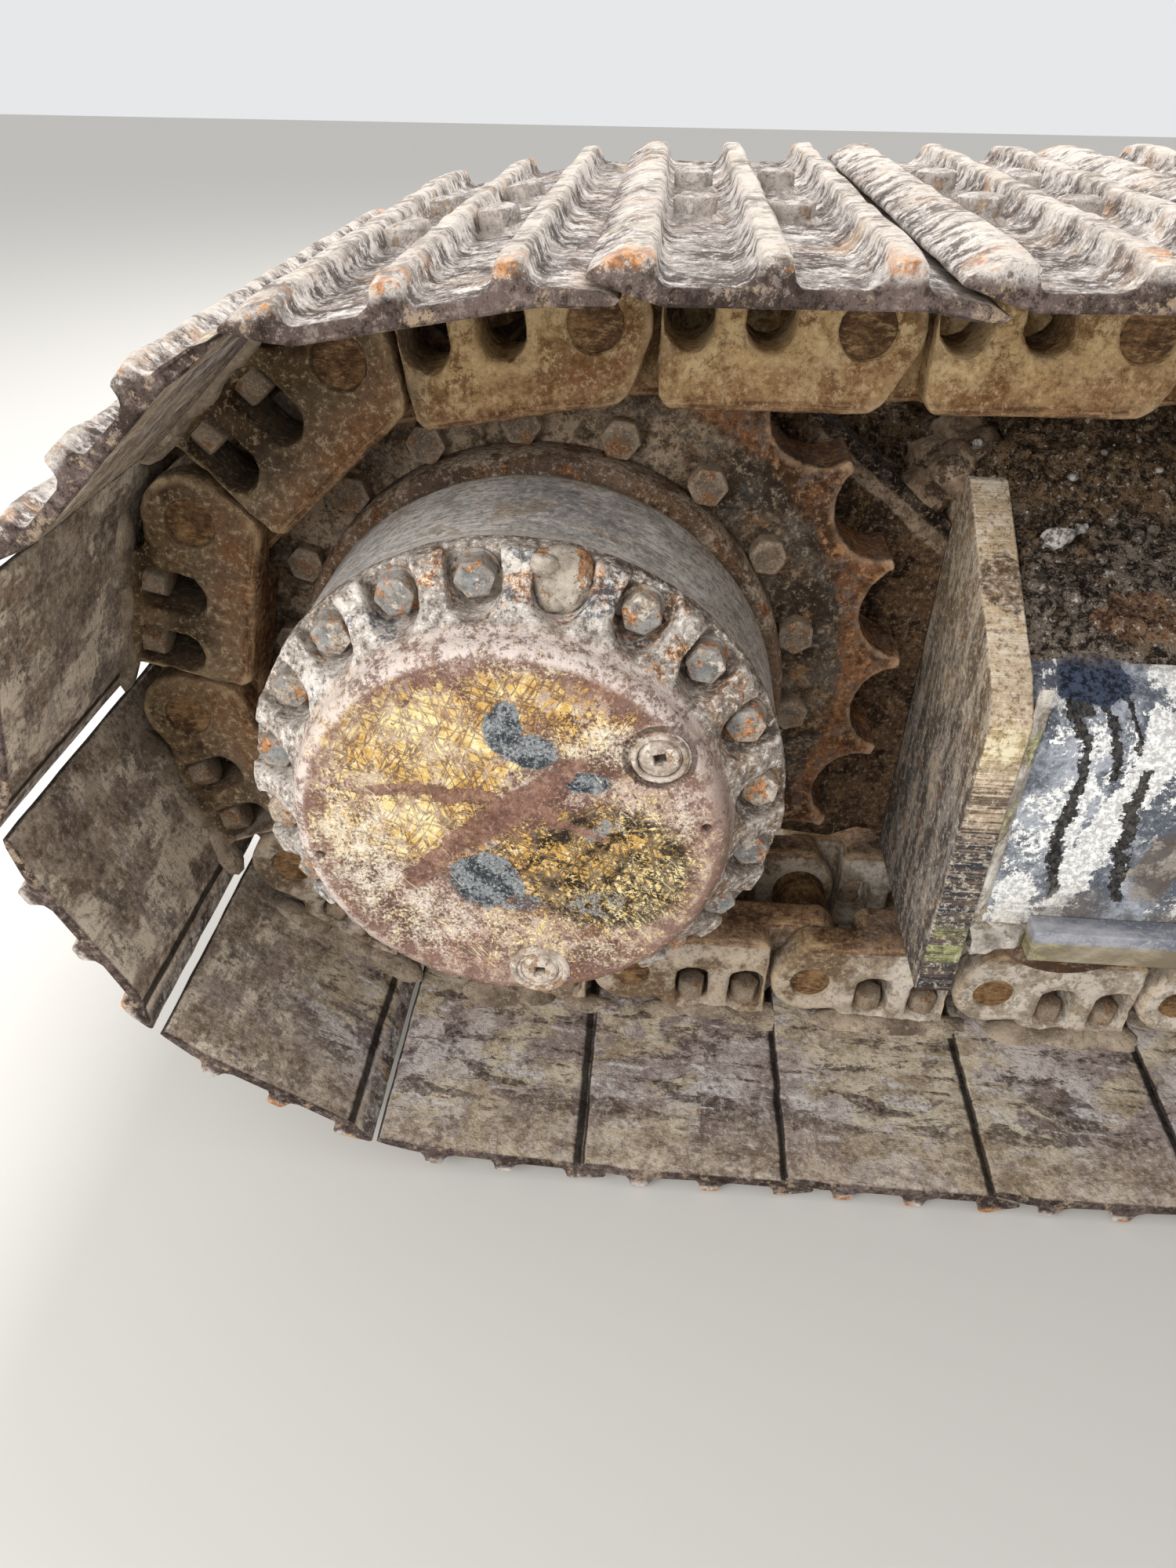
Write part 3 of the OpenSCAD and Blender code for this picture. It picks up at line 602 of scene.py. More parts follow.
# radii where a ring starts and ends; places from the drive's axis in metres, half sizes, strength;
# webs: way in degrees, scale, stretch, width
capLook = {
    "face": (0.168, 0.174), "ring": (0.148, 0.164, 0.172, 0.178), "bevel": (0.171, 0.177, 0.187, 0.193),
    "groove": (0.0245, 0.0255, 0.029, 0.031),
    "levelPlug": (0.124, 0.091), "drainPlug": (0.025, -0.154),
    "paleWeb": [(25, 40, 4, 0.085), (-52, 40, 4, 0.085), (80, 36, 5, 0.075)],
    "darkWeb": [(15, 14, 6, 0.045), (70, 13, 7, 0.040), (-30, 16, 5, 0.045)],
    "yellow": [
        (-0.070, 0.088, 0.092, 0.056, 0.95), (0.015, 0.142, 0.065, 0.024, 0.72),
        (-0.090, 0.010, 0.085, 0.050, 0.66), (0.105, -0.035, 0.075, 0.100, 0.30), (0.03, -0.03, 0.08, 0.05, 0.34),
        (0.055, 0.118, 0.05, 0.03, 0.40), (0.02, -0.10, 0.08, 0.05, 0.18),
    ],
    "slate": [
        (0.000, 0.110, 0.020, 0.036, 0.9), (0.022, 0.090, 0.026, 0.022, 0.95), (-0.022, -0.048, 0.040, 0.038, 1.0),
        (0.066, 0.063, 0.028, 0.014, 0.9), (0.085, 0.012, 0.034, 0.024, 0.5), (0.080, -0.070, 0.050, 0.030, 0.5),
        (0.010, -0.070, 0.03, 0.02, 0.6),
    ],
    "dark": [(0.085, -0.03, 0.09, 0.080, 1.0), (0.01, -0.03, 0.07, 0.05, 0.55), (0.02, 0.09, 0.05, 0.05, 0.45)],
    "chalk": [
        (0.150, 0.05, 0.02, 0.07, 0.8), (-0.135, -0.02, 0.06, 0.09, 1.0), (0.082, 0.100, 0.055, 0.025, 1.0),
        (-0.09, -0.10, 0.10, 0.06, 0.8), (0.0, 0.17, 0.14, 0.02, 0.7), (0.09, -0.13, 0.06, 0.03, 0.7),
        (-0.12, 0.09, 0.05, 0.06, 0.45),
    ],
    "smear": [
        (-0.006, 0.024, 0.105, 0.017, 40), (-0.065, 0.045, 0.07, 0.009, 0), (0.05, 0.022, 0.05, 0.007, -25),
        (-0.07, -0.035, 0.05, 0.012, 48),
    ],
}


def housingFinish():
    # grey steel wall with streaks that run round it
    f = Finish("housingSteel")
    y, ring = f.aroundDrive()[1:]
    here = f.here()
    streak = f.grain(f.stretched(ring, (1.1, 30, 1.1)), 5, 6, 0.70, 0.4)
    grit = f.grain(here, 140, 8, 0.8)
    cloud = f.grain(here, 8, 6, 0.65)
    away = f.axes(ring)[0]
    patch = f.grain(f.moved(here, 2, 2, 2), 22, 8, 0.76, 0.3)
    colour = f.two(f.mean(streak, patch), "#aca8a2", "#ece8e3", 0.04)
    colour = f.over(colour, f.total(f.both(cloud, 0.5), f.both(streak, 0.5)), 0.53, 0.56, "#7f8287", 0.7)
    colour = f.over(colour, patch, 0.55, 0.59, "#a08c74", 0.7)
    colour = f.over(
        colour, f.grain(f.stretched(ring, (1.1, 60, 1.1), move=(3, 0, 0)), 6, 5, 0.7), 0.60, 0.64, "#3f3b37", 0.8
    )
    colour = f.gritty(colour, grit, "#5c5752", "#f2ede6", 0.5)
    # olive-yellow grease by the sprocket, brown mud behind it
    back = f.band(f.total(y, f.centred(cloud, 0.04)), sprocketFace - 0.070, sprocketFace - 0.030)
    colour = f.mix(back, colour, f.two(streak, "#6d5d3c", "#b7a470", 0.1))
    front = f.band(f.total(y, f.centred(cloud, 0.03)), coverFace + 0.085, coverFace + 0.11, 1, 0)
    colour = f.lay(colour, "#c4bbb0", front, 0.7)
    colour = f.over(
        colour, f.total(away, f.centred(cloud, 1.2)), 0.35, 0.8, f.two(grit, "#6d6258", "#b9aea1", 0.1), 0.7
    )
    height = f.total(f.both(streak, 0.5), f.both(grit, 0.6))
    return f.finish(colour, height, (0.55, 0.85), 0.5, 0.002)


def sprocketFinish():
    # dark flange, rust-brown teeth with brighter worn flanks
    f = Finish("sprocketIron")
    radius, _, ring = f.aroundDrive()
    here = f.here()
    cloud, mid, grit = f.grains(here, (12, 7, 0.7), (42, 7, 0.75), (150, 8, 0.8))
    away = f.axes(ring)[0]
    colour = f.two(cloud, "#6a5746", "#ab947a")
    colour = f.over(
        colour, f.total(away, f.centred(cloud, 0.8)), 0.45, 0.65, f.two(cloud, "#2f261f", "#54463a"), 0.8
    )
    colour = f.mix(f.band(mid, 0.46, 0.48, 0.6, 0), colour, "#32281f")
    colour = f.over(colour, mid, 0.53, 0.56, "#4a4a46", 0.55)
    colour = f.over(colour, f.grain(f.moved(here, 3, 3, 1), 20, 7, 0.75), 0.56, 0.62, "#8f6a45", 0.7)
    colour = f.gritty(colour, grit, "#231b14", "#a3937d")
    teeth = f.band(f.total(radius, f.centred(cloud, 0.03)), 0.303, 0.318)
    rust = f.two(cloud, "#45301f", "#80593c", 0.08)
    rust = f.over(rust, mid, 0.50, 0.55, "#6b5b50", 0.8)
    rust = f.over(rust, f.grain(f.moved(here, 1, 5, 4), 30, 7, 0.76), 0.55, 0.60, "#a97a52", 0.8)
    rust = f.gritty(rust, grit, "#2b1a10", "#b08c6c")
    colour = f.mix(teeth, colour, rust)
    # dark dirt and painted shade in the hollow corners
    colour = f.lay(colour, "#1f1812", f.dirtAndShade(), 0.6)
    colour = f.lay(colour, "#c2a283", f.worn(0.51, 0.56), teeth, 0.7)
    height = f.total(f.both(cloud, 0.5), f.both(mid, 0.6), f.both(grit, 0.7))
    return f.finish(colour, height, (0.55, 0.9), 0.9, 0.005)


def shoeFinish():
    # outside: pale dried mud over purple-brown steel; inside: patches of mud and wet streaks
    f = Finish("shoeMud")
    own, here = f.own(), f.here()
    u, y, v = f.axes(own)
    cloud, mid, grit = f.grains(here, (9, 7, 0.7), (34, 7, 0.75), (130, 8, 0.82))
    combed = f.grain(f.stretched(own, (1, 2.4, 1), move=(0, 0, 2)), 30, 8, 0.80, 0.3)
    flaky = f.grain(f.moved(here, 4, 9, 2), 26, 9, 0.80, 0.2)
    flank = f.both(f.band(v, shoeLook["plate"] + 0.002, shoeLook["plate"] + 0.008), 0.8)
    combed = f.add("ShaderNodeMix", {0: flank, 2: flaky, 3: combed}, data_type="FLOAT").outputs[0]
    # outside
    outer = f.two(cloud, "#877d78", "#c3bbb5", 0.06)
    outer = f.over(outer, f.total(combed, f.centred(mid, 0.4)), 0.52, 0.55, "#ded5cd", 0.85)
    outer = f.mix(f.band(f.total(mid, f.centred(combed, 0.7)), 0.45, 0.47, 0.85, 0), outer, "#4d423b")
    outer = f.over(
        outer, f.grain(f.moved(here, 8, 8, 1), 12, 8, 0.78, 0.3), 0.54, 0.57, f.two(mid, "#6a5a50", "#a38f7c"), 0.75
    )
    low = f.band(v, shoeLook["plate"], shoeLook["plate"] + 0.010, 1, 0)
    outer = f.lay(outer, f.two(mid, "#564b45", "#8c837d", 0.1), low, f.band(cloud, 0.47, 0.56, 0, 0.8))
    outer = f.over(outer, f.grain(f.moved(here, 2, 5, 1), 20, 7, 0.75), 0.58, 0.64, "#a98562", 0.7)
    outer = f.gritty(outer, grit, "#40352e", "#f0eae3", 0.55)
    crest = f.both(f.band(v, shoeLook["tip"] - 0.010, shoeLook["tip"] - 0.004), f.band(mid, 0.42, 0.56, 0.2, 0.9))
    outer = f.lay(outer, "#d6cabd", crest, 0.6)
    # cut ends of the plate
    ends = f.band(f.calc("ABSOLUTE", y), shoeLook["half"] - 0.004, shoeLook["half"] - 0.001)
    near = f.band(f.calc("ABSOLUTE", y), shoeLook["half"] - 0.05, shoeLook["half"] - 0.005)
    rusty = f.both(near, f.band(v, 0.078, 0.088), f.band(f.grain(here, 30, 5, 0.7), 0.5, 0.58))
    outer = f.lay(outer, f.two(grit, "#a5673a", "#dda36c", 0.1), rusty, 0.9)
    steel = f.two(cloud, "#40342e", "#6a5b55", 0.1)
    steel = f.over(steel, f.grain(here, 50, 6, 0.75), 0.54, 0.62, "#ac967d", 0.8)
    steel = f.gritty(steel, grit, "#231a16", "#8f8178", 0.7)
    outer = f.lay(outer, steel, ends, f.band(f.total(v, f.centred(cloud, 0.02)), 0.076, 0.088, 1, 0))
    # inside
    wet = f.grain(f.stretched(own, (1, 3.4, 1), move=(0, 0, 5)), 13, 8, 0.76, 0.5)
    soft = f.grain(here, 22, 6, 0.62)
    inner = f.two(cloud, "#9f8e87", "#d8cdc6", 0.08)
    patch = f.grain(f.moved(here, 2, 3, 1), 6, 8, 0.66, 0.6)
    inner = f.over(inner, patch, 0.50, 0.55, f.two(soft, "#ab9879", "#e2d3b6", 0.1), 0.85)
    inner = f.over(
        inner, f.grain(f.moved(here, 6, 1, 3), 7, 8, 0.66, 0.6), 0.53, 0.57, f.two(soft, "#5c4b48", "#8b7a76", 0.1),
        0.85,
    )
    inner = f.mix(f.band(wet, 0.42, 0.45, 0.85, 0), inner, f.two(grit, "#b3a9a4", "#e6e0db", 0.1))
    inner = f.over(inner, wet, 0.545, 0.56, f.two(grit, "#4b4038", "#84766c", 0.1), 0.85)
    inner = f.over(inner, f.grain(f.moved(here, 7, 1, 2), 26, 7, 0.78), 0.60, 0.62, "#55423f", 0.6)
    edgeBand = f.band(f.total(y, f.centred(cloud, 0.12)), -shoeLook["half"] + 0.10, -shoeLook["half"] + 0.02)
    inner = f.lay(inner, f.two(mid, "#8d7863", "#d0bda4", 0.08), edgeBand, 0.6)
    inner = f.gritty(inner, grit, "#3a2f28", "#e6dfd6", 0.4)
    # round the wrap the inner faces take their own streaky mud, made paler as painted light where the lamps reach
    # little
    x = f.axes(here)[0]
    rising = f.band(f.total(x, f.centred(cloud, 0.2)), -2.18, -2.05, 1, 0)
    wrapMudAndLight = f.two(f.grain(f.stretched(own, (3, 1, 1), move=(1, 4, 0)), 12, 8, 0.68), "#9a8572", "#fbebd3", 0.06)
    wrapMudAndLight = f.mix(
        f.band(f.grain(f.moved(here, 3, 7, 3), 18, 8, 0.78), 0.45, 0.48, 0.8, 0), wrapMudAndLight,
        f.two(mid, "#3f332b", "#6a5b4e"),
    )
    wrapMudAndLight = f.over(wrapMudAndLight, wet, 0.55, 0.57, "#b8a9a0", 0.7)
    wrapMudAndLight = f.over(wrapMudAndLight, patch, 0.53, 0.56, f.two(mid, "#6a584c", "#a08e80"), 0.7)
    wrapMudAndLight = f.gritty(wrapMudAndLight, grit, "#33281f", "#e6d9c4", 0.4)
    inner = f.lay(inner, wrapMudAndLight, rising, 0.75)
    # painted shadow at the end of the lip that lies on the next shoe, and in the corner under it
    lapShadow = f.total(u, f.both(f.centred(mid, 0.5), 0.012))
    corner = f.both(
        f.band(lapShadow, 0.034 - halfPitch, 0.037 - halfPitch), f.band(lapShadow, 0.047 - halfPitch, 0.043 - halfPitch)
    )
    lapShadow = f.most(f.band(lapShadow, halfPitch + 0.0365, halfPitch + 0.0385), corner)
    inner = f.lay(inner, "#1d1713", lapShadow, 0.9)
    side = f.most(f.band(v, 0.0662, 0.0695), ends)
    colour = f.mix(side, inner, outer)
    colour = f.lay(colour, "#cbbfb2", f.worn(0.515, 0.56), f.less(side, ends), f.band(cloud, 0.4, 0.6, 0.1, 0.5))
    height = f.total(f.both(grit, 0.8), f.both(mid, 0.7), f.both(wet, 0.3), f.both(combed, 0.35))
    return f.finish(colour, height, (0.6, 0.95), 0.9, 0.005)


def linkFinish():
    # khaki casting, dusty, with a rust-brown rail; painted shade on the links round the sprocket, greyer below
    f = Finish("linkCasting")
    own, here = f.own(), f.here()
    u, y, v = f.axes(own)
    x, _, z = f.axes(here)
    cloud, mid, grit = f.grains(here, (12, 7, 0.7), (40, 7, 0.76), (150, 8, 0.82))
    colour = f.two(cloud, "#856744", "#bd9f72")
    colour = f.over(colour, f.grain(f.moved(here, 5, 2, 3), 20, 8, 0.78), 0.52, 0.56, "#cdb287", 0.8)
    colour = f.over(colour, f.grain(f.moved(here, 2, 1, 0), 17, 8, 0.78), 0.55, 0.59, "#654226", 0.75)
    # painted shade on the links that wrap round the sprocket, deepest on the upper ones
    paintedWrapShade = f.band(
        f.total(x, f.centred(cloud, 0.04)), linkLook["wrapX"] + 0.01, linkLook["wrapX"] + 0.045, 0.92, 0
    )
    dark = f.two(cloud, "#3c2d21", "#6b563f")
    dark = f.over(dark, z, 0.62, 0.72, "#2a1d14", 0.6)
    dark = f.over(dark, mid, 0.56, 0.59, "#2d2119", 0.8)
    dark = f.over(dark, f.total(y, f.centred(mid, 0.05), f.both(v, -0.4)), -0.13, -0.10, "#8a7a68", 0.6)
    colour = f.mix(paintedWrapShade, colour, dark)
    below = f.band(z, 0.24, 0.34, 1, 0)
    colour = f.lay(colour, f.two(cloud, "#786553", "#c6b8a8"), below, 0.8)
    sandy = f.both(below, f.band(f.total(x, f.centred(cloud, 0.3)), -1.55, -1.42, 0, 0.8))
    colour = f.mix(sandy, colour, f.two(mid, "#a39685", "#e2d8ca"))
    bossy = f.both(f.less(1.0, below), f.band(f.less(v, f.both(u, 0.15)), -0.02, -0.05))
    colour = f.lay(colour, "#80593a", bossy, f.band(mid, 0.4, 0.6, 0.3, 0.8))
    colour = f.gritty(colour, grit, "#35261a", "#dcc6a0", 0.4)
    lines = f.grain(f.stretched(own, (1, 1, 14)), 16, 6, 0.76)
    rail = f.band(f.total(v, f.centred(mid, 0.006)), -0.052, -0.059)
    colour = f.lay(
        colour, f.gritty(f.two(lines, "#503524", "#a07c59", 0.1), grit, "#2c1c12", "#c09c74", 0.6), rail, 0.85
    )
    # dark dirt and painted shade in the hollow corners
    colour = f.lay(colour, "#2b2017", f.dirtAndShade(), 0.75)
    colour = f.lay(colour, "#c8ae88", f.worn(0.515, 0.56), f.band(mid, 0.4, 0.6, 0.2, 0.7))
    height = f.total(f.both(cloud, 0.3), f.both(mid, 0.6), f.both(grit, 0.8))
    return f.finish(colour, height, (0.6, 0.92), 0.9, 0.004)


def pinFinish():
    f = Finish("pinEndSteel")
    here = f.here()
    mid = f.grain(here, 30, 6, 0.7)
    grit = f.grain(f.stretched(here, (1, 1, 2.5)), 110, 8, 0.8)
    colour = f.two(mid, "#523a27", "#8a6a48", 0.1)
    colour = f.gritty(colour, grit, "#2c1d12", "#a88c66")
    return f.finish(colour, f.total(f.both(mid, 0.5), f.both(grit, 0.7)), (0.5, 0.85), 0.8, 0.003)


def endPlateFinish():
    # flame-cut edge with fine level lines, faces combed by run-off
    f = Finish("endPlateSteel")
    here = f.here()
    z = f.axes(here)[2]
    cloud, mid, grit = f.grains(here, (8, 7, 0.7), (40, 7, 0.76), (150, 8, 0.82))
    combed = f.grain(f.stretched(here, (1, 3.6, 1)), 9, 7, 0.74, 0.4)
    face = f.over(
        f.two(combed, "#5d5650", "#9e948b"), f.total(z, f.centred(cloud, 0.3)), 0.36, 0.56,
        f.two(combed, "#8a785f", "#bfad95"),
    )
    face = f.over(face, f.total(f.both(combed, 0.6), f.both(cloud, 0.4)), 0.54, 0.60, "#cdb79c", 0.75)
    face = f.over(
        face, f.grain(f.stretched(here, (1, 5, 1), move=(2, 1, 1)), 13, 8, 0.78), 0.55, 0.61, "#5b545c", 0.75
    )
    face = f.over(face, mid, 0.57, 0.62, "#ab8055", 0.7)
    cut = f.grain(f.stretched(here, (1, 1, 100)), 3.4, 3, 0.55)
    level = f.total(z, f.centred(cloud, 0.25))
    edge = f.over("#6a5c53", level, 0.33, 0.45, "#bfa98f")
    edge = f.over(edge, level, 0.48, 0.60, f.two(mid, "#cfb593", "#f0dfc6"))
    stripe = f.between(f.total(z, f.centred(mid, 0.1)), 0.45, 0.47, 0.50, 0.52)
    edge = f.lay(edge, f.two(mid, "#b09a72", "#e6d8b4"), stripe)
    lined = f.both(f.band(level, 0.50, 0.44, 0, 1), f.band(cut, 0.48, 0.52), 0.75)
    edge = f.mix(lined, edge, "#4a3c33")
    edge = f.lay(edge, "#3b3c40", f.band(level, 0.43, 0.37), f.band(f.mean(mid, cut), 0.47, 0.52))
    edge = f.over(
        edge, f.total(f.glow(here, -1.42, 0.595, 0.03, 0.022), f.centred(mid, 1.5)), 0.5, 0.6,
        f.two(grit, "#4d3a2a", "#8c7358"), 0.8,
    )
    edge = f.over(
        edge, f.grain(f.stretched(here, (4, 4, 40), move=(1, 1, 1)), 5, 7, 0.82), 0.56, 0.59, "#eee3cc", 0.5
    )
    green = f.between(z, 0.205, 0.22, 0.25, 0.27)
    edge = f.lay(edge, "#a9ac74", green, f.band(f.mean(cut, mid), 0.46, 0.53, 0, 0.85))
    thin = f.band(f.calc("ABSOLUTE", f.axes(f.surface("Normal"))[0]), 0.4, 0.7)
    colour = f.mix(thin, edge, face)
    colour = f.gritty(colour, grit, "#3b3029", "#e6d9c4", 0.6)
    height = f.total(f.both(grit, 0.6), f.both(cut, 0.8, f.less(1.0, thin)), f.both(combed, 0.5))
    return f.finish(colour, height, (0.6, 0.92), 0.8, 0.003)


def mountFinish():
    # rough brown mud with the lighter rim of the plate, soil caked above it
    f = Finish("mountMud")
    here = f.here()
    x, _, z = f.axes(here)
    cloud, mid, grit = f.grains(here, (10, 7, 0.72), (34, 8, 0.78), (140, 8, 0.82))
    colour = f.two(cloud, "#3f3024", "#6f5742")
    colour = f.over(colour, mid, 0.54, 0.58, "#8a6b4a", 0.8)
    colour = f.over(colour, f.grain(f.moved(here, 3, 1, 1), 22, 8, 0.78), 0.55, 0.58, "#221912", 0.85)
    slope = f.total(z, f.both(x, mountLook["lean"]), f.centred(cloud, 0.02), f.centred(mid, 0.02))
    start = mountLook["rim"][1] + mountLook["lean"] * mountLook["rim"][0]
    right = f.band(x, mountLook["rim"][0] - 0.03, mountLook["rim"][0])
    rim = f.both(f.between(slope, start - 0.020, start - 0.016, start, start + 0.004), right)
    colour = f.lay(colour, f.two(mid, "#86725d", "#bda68c"), rim, 0.9)
    caked = f.both(f.band(slope, start, start + 0.006), right)
    colour = f.mix(caked, colour, f.two(mid, "#241c17", "#574a3f"))
    colour = f.gritty(colour, grit, "#1b130d", "#b09a80", 0.7)
    height = f.total(f.both(cloud, 0.6), f.both(mid, 1.0), f.both(grit, 0.6), f.both(caked, 0.5), f.both(rim, 0.4))
    return f.finish(colour, height, (0.65, 0.95), 1.0, 0.008)


mountLook = {"rim": (-1.581, 0.684), "lean": 0.7545}  # where the rim starts, and how steeply it falls


def frameFinish():
    # blue-grey side with chalky slanting streaks and black runs, soil stains above
    f = Finish("frameSidePaint")
    here = f.here()
    x, y, z = f.axes(here)
    cloud, mid, grit = f.grains(here, (7, 7, 0.7), (36, 7, 0.76), (150, 8, 0.82))
    colour = f.two(cloud, "#5a5e66", "#a5a9b0", 0.06)
    colour = f.over(colour, mid, 0.54, 0.57, "#9ea2a8", 0.6)
    colour = f.gritty(colour, grit, "#2b2d31", "#c9cbce", 0.45)
    wave = f.total(f.centred(mid, 2.2), f.centred(grit, 1.8))
    sway = f.centred(f.grain(here, 12, 6, 0.72), 0.075)
    swayed = f.joined(f.total(x, sway), y, z)

    def lines(name):
        return f.most(0.0, *[f.both(f.line(swayed, *row[:5]), row[5]) for row in frameLook[name]])

    plain = f.band(x, -1.22, -1.12)
    chalk = f.total(
        f.grain(f.stretched(f.turned(here, -14), (3.2, 1, 1.2)), 4.5, 8, 0.78, 0.5), f.centred(mid, 0.3)
    )
    chalk = f.both(f.band(chalk, 0.52, 0.56), f.most(plain, 0.45))
    chalk = f.most(chalk, lines("white"))
    chalk = f.band(f.total(chalk, wave), 0.42, 0.50, 0, 0.93)
    colour = f.mix(chalk, colour, f.two(grit, "#bcbab7", "#f4f3ef"))
    runs = f.grain(f.stretched(f.turned(here, 5), (13, 1, 0.8), move=(3, 0, 1)), 2.6, 4, 0.6, 0.1)
    runs = f.both(
        f.band(f.total(runs, f.band(z, 0.30, 0.54, -0.03, 0.02), f.band(x, -1.1, -0.2, 0, -0.045)), 0.57, 0.59),
        plain,
    )
    runs = f.most(runs, lines("black"))
    colour = f.over(colour, f.total(runs, f.both(wave, 0.35)), 0.45, 0.55, f.two(grit, "#14110f", "#3b3632"), 0.95)
    muddy = f.band(f.total(f.glow(here, *frameLook["muddy"]), wave), 0.45, 0.52)
    colour = f.lay(colour, f.two(mid, "#5c5148", "#91867a"), muddy, 0.85)
    navy = f.band(f.total(f.glow(here, *frameLook["navy"]), f.both(wave, 0.7)), 0.42, 0.5)
    colour = f.mix(navy, colour, f.two(grit, "#1b202b", "#434b5d"))
    flare = f.band(f.total(x, f.centred(cloud, 0.05), f.both(z, 0.08)), -1.385, -1.362, 1, 0)
    colour = f.lay(
        colour, f.gritty(f.two(mid, "#958c82", "#d8d2ca", 0.04), grit, "#5f5750", "#f5f2ee", 0.5), flare, 0.8
    )
    colour = f.over(colour, f.total(z, f.centred(cloud, 0.25)), 0.31, 0.25, f.two(mid, "#756a5f", "#c9c0b0"), 0.6)
    top = f.both(
        f.band(f.upward(), 0.3, 0.6),
        f.band(f.total(y, f.centred(cloud, 0.06)), frameLow.y + 0.05, frameLow.y + 0.075),
    )
    colour = f.mix(top, colour, f.gritty(f.two(mid, "#453a31", "#7b6a58", 0.1), grit, "#261e18", "#9d9185"))
    inner = f.band(y, 0.10, 0.12)
    colour = f.lay(
        colour, f.gritty(f.two(cloud, "#57524d", "#858078", 0.1), grit, "#35302b", "#aba399"), inner, 0.7
    )
    height = f.total(f.both(grit, 0.6), f.both(chalk, 0.4), f.both(mid, 0.4))
    return f.finish(colour, height, (0.6, 0.92), 0.6, 0.003)


# patches: x, z, half sizes; lines: from x, z to x, z, half width, strength
frameLook = {
    "muddy": (-1.235, 0.350, 0.030, 0.055), "navy": (-1.340, 0.534, 0.040, 0.017),
    "white": [
        (-1.272, 0.520, -1.318, 0.290, 0.020, 1.0), (-1.290, 0.548, -1.235, 0.530, 0.016, 1.0),
        (-1.375, 0.330, -1.350, 0.262, 0.020, 0.9), (-1.337, 0.460, -1.322, 0.320, 0.006, 0.8),
        (-1.24, 0.50, -1.20, 0.44, 0.02, 0.8),
    ],
    "black": [
        (-1.359, 0.552, -1.331, 0.300, 0.0055, 1.0), (-1.338, 0.553, -1.314, 0.450, 0.0042, 1.0),
        (-1.313, 0.535, -1.299, 0.480, 0.0036, 1.0), (-1.288, 0.465, -1.268, 0.300, 0.0065, 0.9),
        (-1.349, 0.545, -1.345, 0.51, 0.008, 0.9),
    ],
}


def ledgeFinish():
    f = Finish("ledgeSteel")
    here = f.here()
    z = f.axes(here)[2]
    cloud = f.grain(f.stretched(here, (0.5, 1, 1)), 9, 7, 0.7)
    fine = f.grain(here, 230, 4, 0.7)
    blue = f.over("#6b6e78", cloud, 0.4, 0.62, "#b2b1b5")
    blue = f.over(blue, fine, 0.5, 0.66, "#a8a5a2", 0.8)
    olive = f.two(cloud, "#7a6f5c", "#b5aa92", 0.1)
    olive = f.over(
        olive, f.grain(f.stretched(here, (0.6, 1, 1), move=(1, 2, 3)), 14, 6, 0.75), 0.55, 0.62, "#a9a678", 0.7
    )
    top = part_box("side_ledge")[1].z
    colour = f.over(olive, z, top - 0.018, top - 0.010, blue)
    return f.finish(colour, f.total(f.both(cloud, 0.3), f.both(fine, 0.6)), (0.6, 0.9), 0.5, 0.003)


shoeLook = {
    "half": (shoeHigh.y - shoeLow.y) / 2, "plate": 0.071, "tip": 0.092, "cuts": 26, "round": 0.0022, "wear": 0.0035,
    "tall": 0.021,
}
linkLook = {
    "wrapX": driveAxis.x - 0.12, "voxel": 0.0042, "faces": 4100, "boss": 0.108, "bossEdge": 0.038, "groove": 0.031,
    "topRun": 0.80, "mudY": 0.120, "mudPlaces": (-0.055, 0.005, 0.062),
}
boltLook = {
    "headPlaces": (
        -0.033, 0.041
    ), "nutPlaces": (-0.034, 0.032), "rows": (-0.085, 0.085), "nutRows": (-0.097, 0.097),
    "headAcross": 0.034, "headTall": 0.021, "nutAcross": 0.031, "nutTall": 0.024,
}


def pinCentres():
    bm = bmesh.new()
    bm.from_mesh(nodes["track_pins"].data)
    bmesh.ops.remove_doubles(bm, verts=bm.verts, dist=2e-5)
    centres = []
    for part in looseParts(bm):
        xs = [v.co.x for v in part]
        zs = [v.co.z for v in part]
        centres.append(Vector(((min(xs) + max(xs)) / 2, chainY, (min(zs) + max(zs)) / 2)))
    bm.free()
    middle = sum(centres, Vector()) / len(centres)
    centres.sort(key=lambda p: -math.atan2(p.z - middle.z, p.x - middle.x))
    return centres


pins = pinCentres()


def linkMatrix(k):
    # along the chain, across it, and out from the pin line
    a, b = pins[k], pins[(k + 1) % len(pins)]
    along = (b - a).normalized()
    out = Vector((-along.z, 0, along.x))
    place = (a + b) / 2
    matrix = Matrix((along, Vector((0, 1, 0)), out)).transposed().to_4x4()
    matrix.translation = place
    return matrix


def partAt(node, k):
    # one link's own solid, in its own axes
    bm = mergedCopy(node)
    inverse = linkMatrix(k).inverted()
    bmesh.ops.transform(bm, matrix=inverse, verts=bm.verts)
    parts = looseParts(bm)

    def reach(part):
        return max(abs(v.co.x) + abs(v.co.z) for v in part)

    kept = min(parts, key=reach)
    bmesh.ops.delete(bm, geom=[v for part in parts if part is not kept for v in part], context="VERTS")
    return bm


def bottomLink():
    return min(range(len(pins)), key=lambda k: (linkMatrix(k).translation - Vector((0, chainY, 0))).length)


straightLink = bottomLink()
halfPitch = (pins[straightLink + 1] - pins[straightLink]).length / 2


